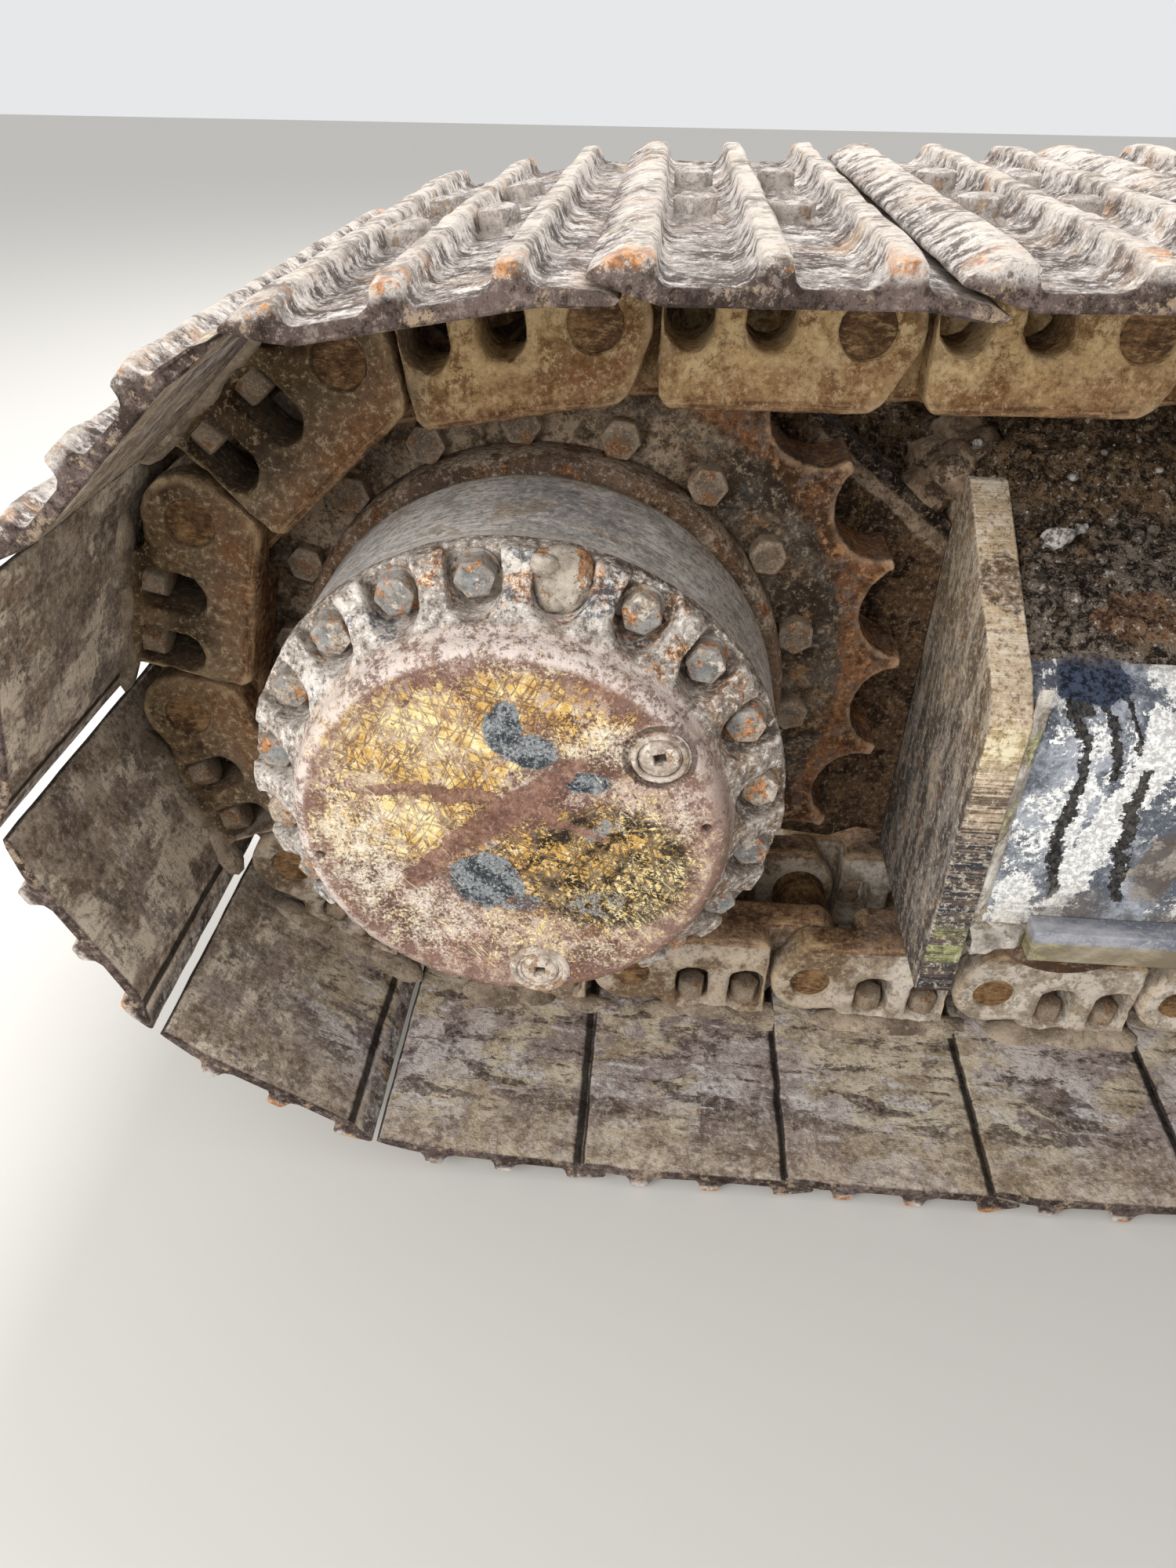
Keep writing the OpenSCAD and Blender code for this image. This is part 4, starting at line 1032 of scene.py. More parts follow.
def makeShoes():
    bm = partAt("track_shoes", straightLink)
    softenEdges(bm, shoeLook["round"], 2, 32)
    lengths = [e for e in bm.edges if abs(e.verts[0].co.y - e.verts[1].co.y) > shoeLook["half"]]
    bmesh.ops.subdivide_edges(bm, edges=lengths, cuts=shoeLook["cuts"], use_grid_fill=True)
    template = asMesh(bm)

    def wear(co, tag):
        high = max(0.0, co.z - shoeLook["plate"]) / shoeLook["tall"]
        end = max(0.0, abs(co.y) - (shoeLook["half"] - 0.035)) / 0.035
        place = Vector((co.x * 12, co.y * 16, tag * 7.3))
        dip = noise.fractal(place, 0.8, 2.1, 3)
        chips = abs(noise.noise(Vector((co.x * 30, co.y * 55, tag * 3.1))))
        drop = high * (shoeLook["wear"] * (0.4 + 0.6 * dip) + 0.0035 * end * end + 0.002 * chips)
        shake = noise.noise_vector(Vector((co.x * 22, co.y * 30, co.z * 22 + tag * 5.7)))
        edgeBite = 0.006 * end * max(0.0, noise.noise(Vector((co.x * 18, tag * 2.9, 0.3 if co.y > 0 else 4.1))))
        moved = Vector((co.x + shake.x * 0.0012, co.y - math.copysign(edgeBite, co.y), co.z + shake.z * 0.0008))
        moved.z -= max(drop, 0.0)
        if co.z < shoeLook["plate"] - 0.004:
            moved.z = co.z + shake.z * 0.0006
        return moved

    bm = bmesh.new()
    for k in range(len(pins)):
        addMesh(bm, template, linkMatrix(k), wear, float(k))
    newPiece("trackShoesWorn", bm, shoeFinish(), ["track_shoes"])


def makeLinks(node):
    bm = partAt(node, straightLink)
    bm = castSkin(bm, linkLook["voxel"], 3)
    bossEdge, groove = linkLook["bossEdge"], linkLook["groove"]

    def bell(far, wide):
        return math.exp(-((far / wide) ** 2))

    for vert in bm.verts:
        u, y, v = vert.co
        on = unit((abs(y) - 0.092) / 0.02) if u > -0.058 else unit((abs(y) - 0.066) / 0.015)
        far = math.hypot(u - linkLook["boss"], v)
        # raised boss with a groove, a hollow over each nut, and the rail's step
        lift = 0.0022 * bell(max(0.0, far - bossEdge), 0.008) - 0.0016 * bell(far - groove, 0.0025)
        lift -= 0.006 * bell(v + 0.022, 0.020) * (bell(u + 0.032, 0.026) + bell(u - 0.032, 0.026))
        lift += 0.0025 / (1 + math.exp((v + 0.050) / 0.0025)) - 0.0015 * bell(u, 0.02) * bell(v - 0.02, 0.05)
        vert.co.y += math.copysign(lift * on, y)
    roughen(bm, 0.0009, 0.02, 3.0)
    ratio = linkLook["faces"] / sum(len(f.verts) - 2 for f in bm.faces)
    bm = throughModifiers(bm, ("DECIMATE", {"decimate_type": "COLLAPSE", "ratio": ratio}))
    template = asMesh(bm)
    bm = bmesh.new()
    for k in range(len(pins)):
        addMesh(bm, template, linkMatrix(k))
    return bm


def hexHead(across, tall, bevel=0.0018, washer=0.0, dome=0.25):
    # stands on its own origin, axis along +Z
    bm = bmesh.new()
    radius = across / math.sqrt(3)
    bmesh.ops.create_cone(bm, cap_ends=True, segments=6, radius1=radius, radius2=radius, depth=tall)
    bmesh.ops.translate(bm, vec=(0, 0, tall / 2), verts=bm.verts)
    top = [f for f in bm.faces if f.normal.z > 0.9]
    rim = [e for f in top for e in f.edges]
    corners = [e for e in bm.edges if abs(e.verts[0].co.z - e.verts[1].co.z) > tall / 2]
    bmesh.ops.bevel(
        bm, geom=rim + corners, offset=bevel, offset_type="OFFSET", segments=2, profile=0.5, affect="EDGES",
        clamp_overlap=True, material=-1,
    )
    top = [f for f in bm.faces if f.normal.z > 0.95]
    bmesh.ops.inset_region(bm, faces=top, thickness=across * 0.12, depth=0.0)
    bmesh.ops.translate(bm, vec=(0, 0, tall * dome * 0.2), verts=list({v for f in top for v in f.verts}))
    if washer:
        bmesh.ops.create_cone(bm, cap_ends=True, segments=20, radius1=washer, radius2=washer * 0.97, depth=0.005)
    return bm


def makeShoeBolts():
    heads, nuts = bmesh.new(), bmesh.new()
    head = hexHead(boltLook["headAcross"], boltLook["headTall"], 0.0034)
    mud = Matrix.Translation((0, 0, 0.0035))  # a low cone of dried mud round its foot
    bmesh.ops.create_cone(head, cap_ends=True, segments=14, radius1=0.028, radius2=0.0185, depth=0.007, matrix=mud)
    head = asMesh(head)
    nut = asMesh(hexHead(boltLook["nutAcross"], boltLook["nutTall"], 0.0022))
    for k in range(len(pins)):
        for row in boltLook["rows"]:
            for u in boltLook["headPlaces"]:
                turn = anyTurn()
                tilt = Matrix.Rotation(random.uniform(-0.06, 0.06), 4, "X")
                size = sized(random.uniform(0.93, 1.04), random.uniform(0.93, 1.04), random.uniform(0.75, 1.0))
                place = Matrix.Translation((u, row, shoeLook["plate"] - 0.002))
                addMesh(heads, head, linkMatrix(k) @ place @ tilt @ turn @ size)
        for row in boltLook["nutRows"]:
            for u in boltLook["nutPlaces"]:
                place = Matrix.Translation((u, row, 0.050)) @ Matrix.Rotation(math.pi, 4, "X")
                addMesh(nuts, nut, linkMatrix(k) @ place @ anyTurn())
    roughen(heads, 0.0016, 0.012)
    newPiece("shoeBoltHeads", heads, layered("mudBolt"))
    newPiece("shoeBoltNuts", nuts, layered("rustyNut", "rustyBolt"))


def makeLinkMud():
    # mud packed into the corner between a link and its shoe, away from the top run
    bm = bmesh.new()
    ball = ballMesh(2)
    for k in range(len(pins)):
        matrix = linkMatrix(k)
        if matrix.translation.z > linkLook["topRun"]:
            continue
        for side in (-1, 1):
            for u in linkLook["mudPlaces"]:
                wide = random.uniform(0.030, 0.050)
                place = Matrix.Translation((u + random.uniform(-0.01, 0.01), side * linkLook["mudY"], 0.0615))
                size = sized(wide, random.uniform(0.012, 0.026), random.uniform(0.007, 0.014))
                addMesh(bm, ball, matrix @ place @ size)
    roughen(bm, 0.004, 0.02)
    newPiece("linkMud", bm, layered("linkMud"))


makeShoes()
makeLinkMud()
linkMaterial = linkFinish()
newPiece("trackLinksOuterWorn", makeLinks("track_links_outer"), linkMaterial, ["track_links_outer"])
newPiece("trackLinksInnerWorn", makeLinks("track_links_inner"), linkMaterial, ["track_links_inner"])
makeShoeBolts()
dress("track_pins", pinFinish())
print("stage chain done")


driveLook = {
    "coverVoxel": 0.0029, "sprocketVoxel": 0.0034,
    "coverBolts": 20, "firstPocket": 7.0, "coverBoltRing": 0.214, "coverBoltAcross": 0.030, "coverBoltTall": 0.022,
    "sprocketBolts": 18, "firstSprocketBolt": 153.5, "sprocketBoltRing": 0.264,
    "sprocketBoltAcross": 0.034, "sprocketBoltTall": 0.017,
    "pocketFloor": 0.074, "buriedBolt": 79.0,
}


def onDrive(angle, radius, y):
    # a place on the drive's axis system with local Z pointing to the outside of the track
    a = math.radians(angle)
    return Matrix.Translation((driveAxis.x + radius * math.cos(a), y, driveAxis.z + radius * math.sin(a))) @ outward


def boltRing(bolt, count, first, step, radius, y, depth, size):
    bm = bmesh.new()
    for i in range(count):
        addMesh(bm, bolt, onDrive(first + i * step, radius, y) @ anyTurn())
    roughen(bm, depth, size)
    return bm


def makeCover():
    bm = castSkin(mergedCopy("drive_cover"), driveLook["coverVoxel"], 3)
    roughen(bm, 0.0012, 0.03, 1.0, [v for v in bm.verts if v.co.y > coverFace + 0.004])
    roughen(bm, 0.0003, 0.012, 2.0, [v for v in bm.verts if v.co.y <= coverFace + 0.004])
    newPiece("driveCoverWorn", bm, capFinish(), ["drive_cover"])
    bolt = asMesh(hexHead(driveLook["coverBoltAcross"], driveLook["coverBoltTall"], 0.0022, 0.0185))
    count, first = driveLook["coverBolts"], driveLook["firstPocket"]
    y = coverFace + driveLook["pocketFloor"]
    bm = boltRing(bolt, count, first, 360 / count, driveLook["coverBoltRing"], y, 0.0005, 0.006)
    newPiece("coverBolts", bm, layered("boltSteel"))


def makeCoverMud():
    # one bolt is buried, the others have mud in the inner corner of their pocket
    bm = bmesh.new()
    ball = ballMesh(3)
    for i in range(driveLook["coverBolts"]):
        angle = driveLook["firstPocket"] + i * 360 / driveLook["coverBolts"]
        buried = abs(angle - driveLook["buriedBolt"]) < 9
        y = coverFace + driveLook["pocketFloor"]
        if buried:
            place = onDrive(angle, driveLook["coverBoltRing"], y - 0.010)
            addMesh(bm, ball, place @ sized(0.027, 0.029, 0.017))
            for _ in range(9):
                turn, far = random.uniform(0, 6.28), random.uniform(0.006, 0.022)
                size = random.uniform(0.007, 0.012)
                lump = Matrix.Translation((far * math.cos(turn), far * math.sin(turn), 0.010))
                addMesh(bm, ball, place @ lump @ sized(size, size * 0.8, size * 0.7))
        for side in (-1, 1):
            size = random.uniform(0.007, 0.013) * (1.5 if buried else 1)
            way = angle + side * random.uniform(3.0, 5.0)
            place = onDrive(way, driveLook["coverBoltRing"] - random.uniform(0.006, 0.02), y - 0.001)
            addMesh(bm, ball, place @ sized(size * 1.3, size, size * 0.8))
    roughen(bm, 0.0035, 0.014)
    newPiece("coverMud", bm, layered("paleMud"))


def makePlug(rings):
    # square socket in a round plug, then rings outwards; stands on its own origin, axis along +Z
    bm = bmesh.new()
    bmesh.ops.create_grid(bm, x_segments=5, y_segments=5, size=1)
    for vert in bm.verts:
        level = max(abs(vert.co.x), abs(vert.co.y))
        reach, rise = {0.2: (0.0, 0.0), 0.6: (0.0112, 0.0003), 1.0: (0.0158, -0.0006)}[round(level, 1)]
        if reach:
            vert.co = vert.co.normalized() * reach
            vert.co.z = rise
        else:
            vert.co = Vector((math.copysign(0.0052, vert.co.x), math.copysign(0.0052, vert.co.y), -0.0004))
    bm.faces.ensure_lookup_table()
    socket = [f for f in bm.faces if f.calc_center_median().length < 0.001]
    made = bmesh.ops.extrude_face_region(bm, geom=socket)
    sunk = [g for g in made["geom"] if isinstance(g, bmesh.types.BMVert)]
    bmesh.ops.scale(bm, vec=(0.85, 0.85, 1), verts=sunk)
    bmesh.ops.translate(bm, vec=(0, 0, -0.008), verts=sunk)
    bmesh.ops.delete(bm, geom=socket, context="FACES_ONLY")
    for radius, height in rings:
        border = [e for e in bm.edges if e.is_boundary]
        made = bmesh.ops.extrude_edge_only(bm, edges=border)
        for vert in [g for g in made["geom"] if isinstance(g, bmesh.types.BMVert)]:
            flat = Vector((vert.co.x, vert.co.y, 0)).normalized() * radius
            vert.co = Vector((flat.x, flat.y, height))
    bmesh.ops.contextual_create(bm, geom=[e for e in bm.edges if e.is_boundary])
    bmesh.ops.recalc_face_normals(bm, faces=bm.faces)
    bmesh.ops.bevel(
        bm, geom=[e for e in bm.edges if e.calc_face_angle(0) > 0.6 and e.calc_length() > 0.0018], offset=0.0005,
        offset_type="OFFSET", segments=2, profile=0.5, affect="EDGES", clamp_overlap=True, material=-1,
    )
    return bm


plugLook = {
    "level": [
        (0.0166, -0.0030), (0.0178, -0.0034), (0.0190, -0.0006), (0.0205, 0.0), (0.0225, -0.0006),
        (0.0240, -0.0050), (0.0235, -0.0110),
    ],
    "drain": [
        (0.0166, -0.0030), (0.0178, -0.0034), (0.0190, -0.0016), (0.0215, -0.0020), (0.0228, -0.0004),
        (0.0262, -0.0002), (0.0285, -0.0022), (0.0288, -0.0060), (0.0280, -0.0110),
    ],
}


def makePlugs():
    bm = bmesh.new()
    for name, spin in (("level", 14), ("drain", 3)):
        plug = asMesh(makePlug(plugLook[name]))
        x, z = capLook[name + "Plug"]
        place = Matrix.Translation((driveAxis.x + x, coverFace - 0.0026, driveAxis.z + z)) @ outward
        addMesh(bm, plug, place @ Matrix.Rotation(math.radians(spin), 4, "Z"))
    roughen(bm, 0.00025, 0.006)
    newPiece("coverPlugsWorn", bm, layered("plugSteel"), ["cover_plugs"])


def makeSprocket():
    bm = castSkin(mergedCopy("sprocket"), driveLook["sprocketVoxel"], 3)
    roughen(bm, 0.0016, 0.03, 5.0)
    newPiece("sprocketWorn", bm, sprocketFinish(), ["sprocket"])
    bolt = asMesh(hexHead(driveLook["sprocketBoltAcross"], driveLook["sprocketBoltTall"], 0.0024))
    count, first = driveLook["sprocketBolts"], driveLook["firstSprocketBolt"]
    y = sprocketFace + 0.001
    bm = boltRing(bolt, count, first, -360 / count, driveLook["sprocketBoltRing"], y, 0.0006, 0.008)
    newPiece("sprocketBolts", bm, layered("rustyBolt"))


makeCover()
makeCoverMud()
makePlugs()
makeSprocket()
dress("gear_housing", housingFinish())
print("stage drive done")


plainPieces = {
    "end_plate": ("endPlateWorn", endPlateFinish, 0.003, "end_steel"),
    "side_frame": ("sideFrameWorn", frameFinish, 0.006, "frame_paint"),
    "side_ledge": ("sideLedgeWorn", ledgeFinish, 0.002, "ledge_paint"),
    "drive_hub": ("driveHubWorn", "brownSteel", 0.002, "hub_iron"),
    "drive_mount": ("driveMountWorn", mountFinish, 0.003, "end_steel"),
    "travel_motor": ("travelMotorWorn", "darkMotor", 0.003, "motor_paint"),
    "motor_ports": ("motorPortsWorn", "darkMotor", 0.0015, "union_steel"),
    "motor_guard": ("motorGuardWorn", "brownSteel", 0.0015, "guard_steel"),
    "roller_rails": ("rollerRailsWorn", "brownSteel", 0.0015, "frame_paint"),
    "outer_guard": ("outerGuardWorn", "frameSteel", 0.002, "skirt_paint"),
    "inner_guard": ("innerGuardWorn", "frameSteel", 0.002, "skirt_paint"),
    "access_cover": ("accessCoverWorn", "frameSteel", 0.0015, "frame_paint"),
    "tie_down_eye": ("tieDownEyeWorn", "brownSteel", 0.002, "end_steel"),
    "front_head": ("frontHeadWorn", "frameSteel", 0.0025, "frame_paint"),
    "bottom_rollers": ("bottomRollersWorn", "polishedTread", 0.0015, "roller_steel"),
    "roller_shafts": ("rollerShaftsWorn", "brownSteel", 0.0015, "bracket_steel"),
    "carrier_rollers": ("carrierRollersWorn", "polishedTread", 0.0015, "roller_steel"),
    "carrier_brackets": ("carrierBracketsWorn", "brownSteel", 0.002, "bracket_steel"),
    "idler": ("idlerWorn", "polishedTread", 0.002, "roller_steel"),
    "idler_blocks": ("idlerBlocksWorn", "khakiCasting", 0.002, "bracket_steel"),
    "recoil_rod": ("recoilRodWorn", "brownSteel", 0.002, "bracket_steel"),
    "rear_leg": ("rearLegWorn", "frameSteel", 0.003, "frame_paint"),
    "front_leg": ("frontLegWorn", "frameSteel", 0.003, "frame_paint"),
    "rear_pad": ("rearPadWorn", "frameSteel", 0.002, "pad_steel"),
    "front_pad": ("frontPadWorn", "frameSteel", 0.002, "pad_steel"),
}
frameLow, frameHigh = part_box("side_frame")
for node, (name, look, width, slotName) in plainPieces.items():
    finish = layered(look) if isinstance(look, str) else look()
    newPiece(name, softenEdges(mergedCopy(node), width), finish, [node])
print("stage frame done")


def weldBead(bm, start, end, size):
    # rippled bead along a straight joint, thin at both ends
    start, end = Vector(start), Vector(end)
    way = end - start
    steps = max(3, round(way.length / 0.005))
    bead = bmesh.new()
    bmesh.ops.create_cone(bead, cap_ends=True, segments=6, radius1=size, radius2=size, depth=way.length)
    lengths = [e for e in bead.edges if e.calc_length() > way.length / 2]
    bmesh.ops.subdivide_edges(bead, edges=lengths, cuts=steps - 1, use_grid_fill=True)
    for vert in bead.verts:
        ring = round((vert.co.z / way.length + 0.5) * steps)
        place = start + way * ring / steps
        ripple = (1 if ring % 2 else 0.84) * (0.35 if ring in (0, steps) else 1)
        wide = (0.9 + 0.25 * noise.noise(place * 50)) * ripple
        vert.co.x *= wide
        vert.co.y *= wide
    turn = way.to_track_quat("Z", "Y").to_matrix().to_4x4()
    addMesh(bm, asMesh(bead), Matrix.Translation((start + end) / 2) @ turn)


def boxOutline(low, high, y):
    corners = [(low.x, y, low.z), (high.x, y, low.z), (high.x, y, high.z), (low.x, y, high.z)]
    return list(zip(corners, corners[1:] + corners[:1]))


# heights of the upright welds: by the end plate, by the head inside and outside
fitLook = {
    "bead": 0.007, "plateWeld": (0.262, 0.612), "headWeld": (0.270, 0.585), "outerWeld": (0.262, 0.500),
    "eyeWeld": (-1.4405, -1.4050), "guardBolts": 7, "guardBoltAcross": 0.024, "guardBoltTall": 0.011,
    "guardInset": 0.06, "guardDrop": 0.026, "coverBolts": 8, "coverRing": 0.074, "blockInset": 0.024,
}


def makeWelds():
    bm = bmesh.new()
    lines = []
    for name in ("rear_leg", "front_leg"):
        low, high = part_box(name)
        lines += boxOutline(low, high, low.y + 0.001)
    plateX, headX = frameLow.x - 0.0005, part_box("front_head")[0].x
    innerY, outerY = frameHigh.y + 0.0005, frameLow.y - 0.0005
    for x, y, name in ((plateX, innerY, "plateWeld"), (headX, innerY, "headWeld"), (headX, outerY, "outerWeld")):
        lines.append(tuple((x, y, z) for z in fitLook[name]))
    eyeLow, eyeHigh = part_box("tie_down_eye")
    for y in (eyeLow.y - 0.001, eyeHigh.y + 0.001):
        lines.append(tuple((x, y, plateTop + 0.001) for x in fitLook["eyeWeld"]))
    for start, end in lines:
        weldBead(bm, start, end, fitLook["bead"])
    bmesh.ops.recalc_face_normals(bm, faces=bm.faces[:])
    newPiece("weldBeads", bm, layered("weldSteel"))


def makeSmallBolts():
    # bolts of the guards, the round cover and the idler blocks
    bm = bmesh.new()
    bolt = asMesh(hexHead(fitLook["guardBoltAcross"], fitLook["guardBoltTall"], 0.0015, 0.016))
    places = []
    inset, corner = fitLook["guardInset"], fitLook["blockInset"]
    for name, turn in (("outer_guard", outward), ("inner_guard", inward)):
        low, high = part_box(name)
        for i in range(fitLook["guardBolts"]):
            x = low.x + inset + (high.x - low.x - 2 * inset) * i / (fitLook["guardBolts"] - 1)
            places.append(((x, low.y if turn is outward else high.y, high.z - fitLook["guardDrop"]), turn))
    low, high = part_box("access_cover")
    for i in range(fitLook["coverBolts"]):
        angle = math.tau * (i + 0.5) / fitLook["coverBolts"]
        x = (low.x + high.x) / 2 + fitLook["coverRing"] * math.cos(angle)
        z = (low.z + high.z) / 2 + fitLook["coverRing"] * math.sin(angle)
        places.append(((x, low.y, z), outward))
    low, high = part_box("idler_blocks")
    for x in (low.x + corner, high.x - corner):
        for z in (low.z + corner, high.z - corner):
            places += [((x, low.y, z), outward), ((x, high.y, z), inward)]
    for place, turn in places:
        addMesh(bm, bolt, Matrix.Translation(place) @ turn @ anyTurn())
    newPiece("smallBolts", bm, layered("rustyBolt"))


soilLook = {
    "mound": [
        (-1.446, 0.020, 0.650, 0.030, 0.030, 0.030), (-1.424, 0.035, 0.655, 0.030, 0.040, 0.032),
        (-1.474, 0.030, 0.622, 0.030, 0.026, 0.030), (-1.432, 0.075, 0.660, 0.034, 0.040, 0.036),
        (-1.500, 0.036, 0.612, 0.028, 0.022, 0.022), (-1.460, 0.055, 0.645, 0.030, 0.030, 0.030),
    ],
    "deep": 0.016, "bankDeep": 0.092, "bevel": 0.024, "ridgeY": 0.236, "clods": 900, "stones": 130,
    "guardDeep": 0.055, "guardClods": 160, "guardStones": 50,
    "plateDeep": 0.034, "plateClods": 20, "plateStones": 3,
    "eyeTop": 0.684, "rustPatch": (-1.290, 0.572, 0.055, 0.018),
    "bigStones": [(-1.364, -0.079, 0.013), (-1.338, -0.060, 0.007), (-1.389, -0.105, 0.007)],
    "slotLumps": 9, "slotStart": -1.625, "slotStep": 0.022,
    # where the motor's cover begins to fall, over what length, and how far
    "fallStart": 0.190, "fallLong": 0.23, "fall": 0.088,
}


def lumpsAt(x, y, size, seed, octaves=5, rough=0.9):
    return noise.fractal(Vector((x * size, y * size, seed)), rough, 2.1, octaves)


def pebblesAt(x, y, *rows):
    # height, size and seed of each noise
    return sum(height * noise.noise(Vector((x * size, y * size, seed))) for height, size, seed in rows)


def slopeHeight(y):
    # the frame's top: a slope from the shoulder up to a level strip
    start = frameLow.y + soilLook["bevel"]
    rise = (y - start) / (soilLook["ridgeY"] - soilLook["bevel"])
    shoulder = frameHigh.z - 0.114
    return shoulder + (frameHigh.z - shoulder) * unit(rise)


def frameSoil(x, y, s, t):
    ragged = 0.05 * lumpsAt(x, y, 7, 1.0, 4, 0.8)
    lower, upper, bank = unit((t + ragged) * 9), unit((1 - t) * 14), unit((t - 0.45) * 2.6)
    deep = soilLook["deep"] + (soilLook["bankDeep"] - soilLook["deep"]) * bank * (0.3 + 0.7 * unit(1.7 - s * 7))
    lumps = 0.9 + 0.25 * lumpsAt(x, y, 11, 4.0)
    pebbly = pebblesAt(x, y, (0.0055, 34, 8), (0.0035, 70, 0), (0.0025, 150, 3))
    heap = (deep * max(0.15, lumps) + pebbly + 0.002) * lower * upper * min(1.0, (1 - s) * 40)
    return slopeHeight(y) - 0.003 + heap


def guardTop(x):
    # the cover over the travel motor is level, then falls to the end plate
    return guardHigh.z - soilLook["fall"] * unit((x - (driveAxis.x + soilLook["fallStart"])) / soilLook["fallLong"])


def guardSoil(x, y, s, t):
    edge = min(1.0, s * 6) * min(1.0, t * 8, (1 - t) * 8)
    lumps = 0.85 + 0.35 * lumpsAt(x, y, 12, 7.0)
    pebbly = pebblesAt(x, y, (0.003, 60, 2), (0.002, 150, 5))
    high = guardTop(x) - 0.003 + (soilLook["guardDeep"] * (0.4 + 0.6 * s) * lumps + pebbly) * edge
    return min(high, soilLook["eyeTop"]) if x > driveAxis.x + 0.33 else high


def plateSoil(x, y, s, t):
    # spilt over the top of the end plate, thinner towards its outer face
    lumps = 0.9 + 0.35 * lumpsAt(x, y, 14, 9.0)
    deep = soilLook["plateDeep"] * math.sqrt(unit(t * 5)) * lumps * min(1.0, (1 - t) * 10)
    high = plateTop - 0.003 + deep * math.sqrt(max(0.0, 1 - (1 - s) ** 3))
    return min(high, soilLook["eyeTop"] - 0.006 * lumps) if y > 0.12 else high


def addStone(bm, x, y, size):
    ball = bmesh.new()
    bmesh.ops.create_icosphere(ball, subdivisions=3, radius=1)
    for vert in ball.verts:
        vert.co *= 1 + 0.5 * noise.noise(
            vert.co * 1.3 + Vector((x * 40, y * 40, 0))
        ) + 0.16 * noise.noise(vert.co * 4)
    s = (x - frameLow.x) / (frameHigh.x - frameLow.x)
    t = (y - frameLow.y - 0.05) / (frameHigh.y - frameLow.y - 0.054)
    place = Matrix.Translation((x, y, frameSoil(x, y, s, t) + size * 0.5))
    addMesh(bm, asMesh(ball), place @ sized(size, size * 0.8, size * 0.85))


def spreadSoil(target, clods, stones, heapTop, low, high, across, along, power, counts):
    # a sheet of soil between two corners, then loose clods and stones on it
    first = len(target.verts)
    bmesh.ops.create_grid(target, x_segments=along, y_segments=across, size=0.5)
    target.verts.ensure_lookup_table()
    for vert in target.verts[first:]:
        s, t = (vert.co.x + 0.5) ** power, vert.co.y + 0.5
        x, y = low[0] + (high[0] - low[0]) * s, low[1] + (high[1] - low[1]) * t
        vert.co = Vector((x, y, heapTop(x, y, s, t)))
    ball = ballMesh(2)
    for bm, count, small, big in ((clods, counts[0], 0.003, 0.012), (stones, counts[1], 0.0015, 0.006)):
        for _ in range(count):
            s, t = random.random() ** (power + 0.4), random.uniform(0.10, 0.93)
            x, y = low[0] + 0.01 + (high[0] - low[0] - 0.05) * s, low[1] + (high[1] - low[1]) * t
            size = small + (big - small) * random.random() ** 2.5
            place = Matrix.Translation((x, y, heapTop(x, y, s, t) + size * 0.35)) @ anyTurn(6)
            shape = sized(size, size * random.uniform(0.6, 1), size * random.uniform(0.5, 0.9))
            addMesh(bm, ball, place @ shape)


def soilFinish():
    # black crumbly soil below, browner above, with a rusty patch and pale flecks
    f = Finish("bankSoil")
    here = f.here()
    z = f.axes(here)[2]
    cloud, mid, grit = f.grains(here, (9, 8, 0.76), (60, 8, 0.8), (190, 8, 0.82))
    low = f.two(mid, "#332a24", "#978879")
    high = f.two(mid, "#413223", "#8d7152")
    colour = f.over(low, f.total(z, f.centred(cloud, 0.3)), 0.60, 0.65, high)
    rust = f.total(f.glow(here, *soilLook["rustPatch"]), f.centred(cloud, 2.0), f.centred(mid, 0.7))
    colour = f.over(colour, rust, 0.45, 0.55, f.two(mid, "#6b4a36", "#ab8260"), 0.85)
    colour = f.over(colour, f.grain(f.moved(here, 4, 4, 4), 22, 8, 0.78), 0.56, 0.59, "#8a6f52", 0.7)
    colour = f.gritty(colour, grit, "#120e0b", "#8f8272", 0.8)
    colour = f.over(
        colour, f.grain(f.moved(here, 9, 1, 2), 150, 5, 0.75), 0.585, 0.61, f.two(mid, "#8d8070", "#e2dacf")
    )
    height = f.total(f.both(cloud, 0.3), f.both(mid, 1.0), f.both(grit, 0.8))
    return f.finish(colour, height, (0.75, 0.97), 1.0, 0.010)


def makeFillets():
    # mud in the corner between the end plate and the frame, and below it on the ledge's line
    bm = bmesh.new()
    x0, ledgeStart = frameLow.x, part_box("side_ledge")[0].x + 0.002
    # the upright row and the row below it: right end, lower and upper end, reach
    for x1, z0, z1, reach in ((x0 + 0.012, 0.262, 0.545, 0.009), (ledgeStart, 0.239, 0.262, 0.027)):
        upright = reach < 0.02
        first = len(bm.verts)
        bmesh.ops.create_grid(bm, x_segments=16, y_segments=60, size=0.5)
        bm.verts.ensure_lookup_table()
        for vert in bm.verts[first:]:
            s, t = vert.co.x + 0.5, vert.co.y + 0.5
            z = z0 + (z1 - z0) * t
            lumps = 0.75 + 0.5 * noise.fractal(Vector((s, z * 30, x1 * 9)), 0.9, 2.1, 4)
            out = reach * lumps * (
                math.cos(s * math.pi / 2) if upright else 1 - s**6
            ) * min(1.0, t * 5, (1 - t) * 5)
            x = x0 - 0.001 + (x1 - x0 + 0.001) * s * (0.8 + 0.2 * lumps if upright else 1)
            vert.co = Vector((x, frameLow.y + 0.001 - max(0.0, out), z))
    bmesh.ops.reverse_faces(bm, faces=bm.faces[:])
    bmesh.ops.solidify(bm, geom=bm.faces[:], thickness=0.002)
    bmesh.ops.recalc_face_normals(bm, faces=bm.faces[:])
    roughen(bm, 0.0012, 0.010)
    newPiece("cornerMud", bm, layered("cornerMud"))


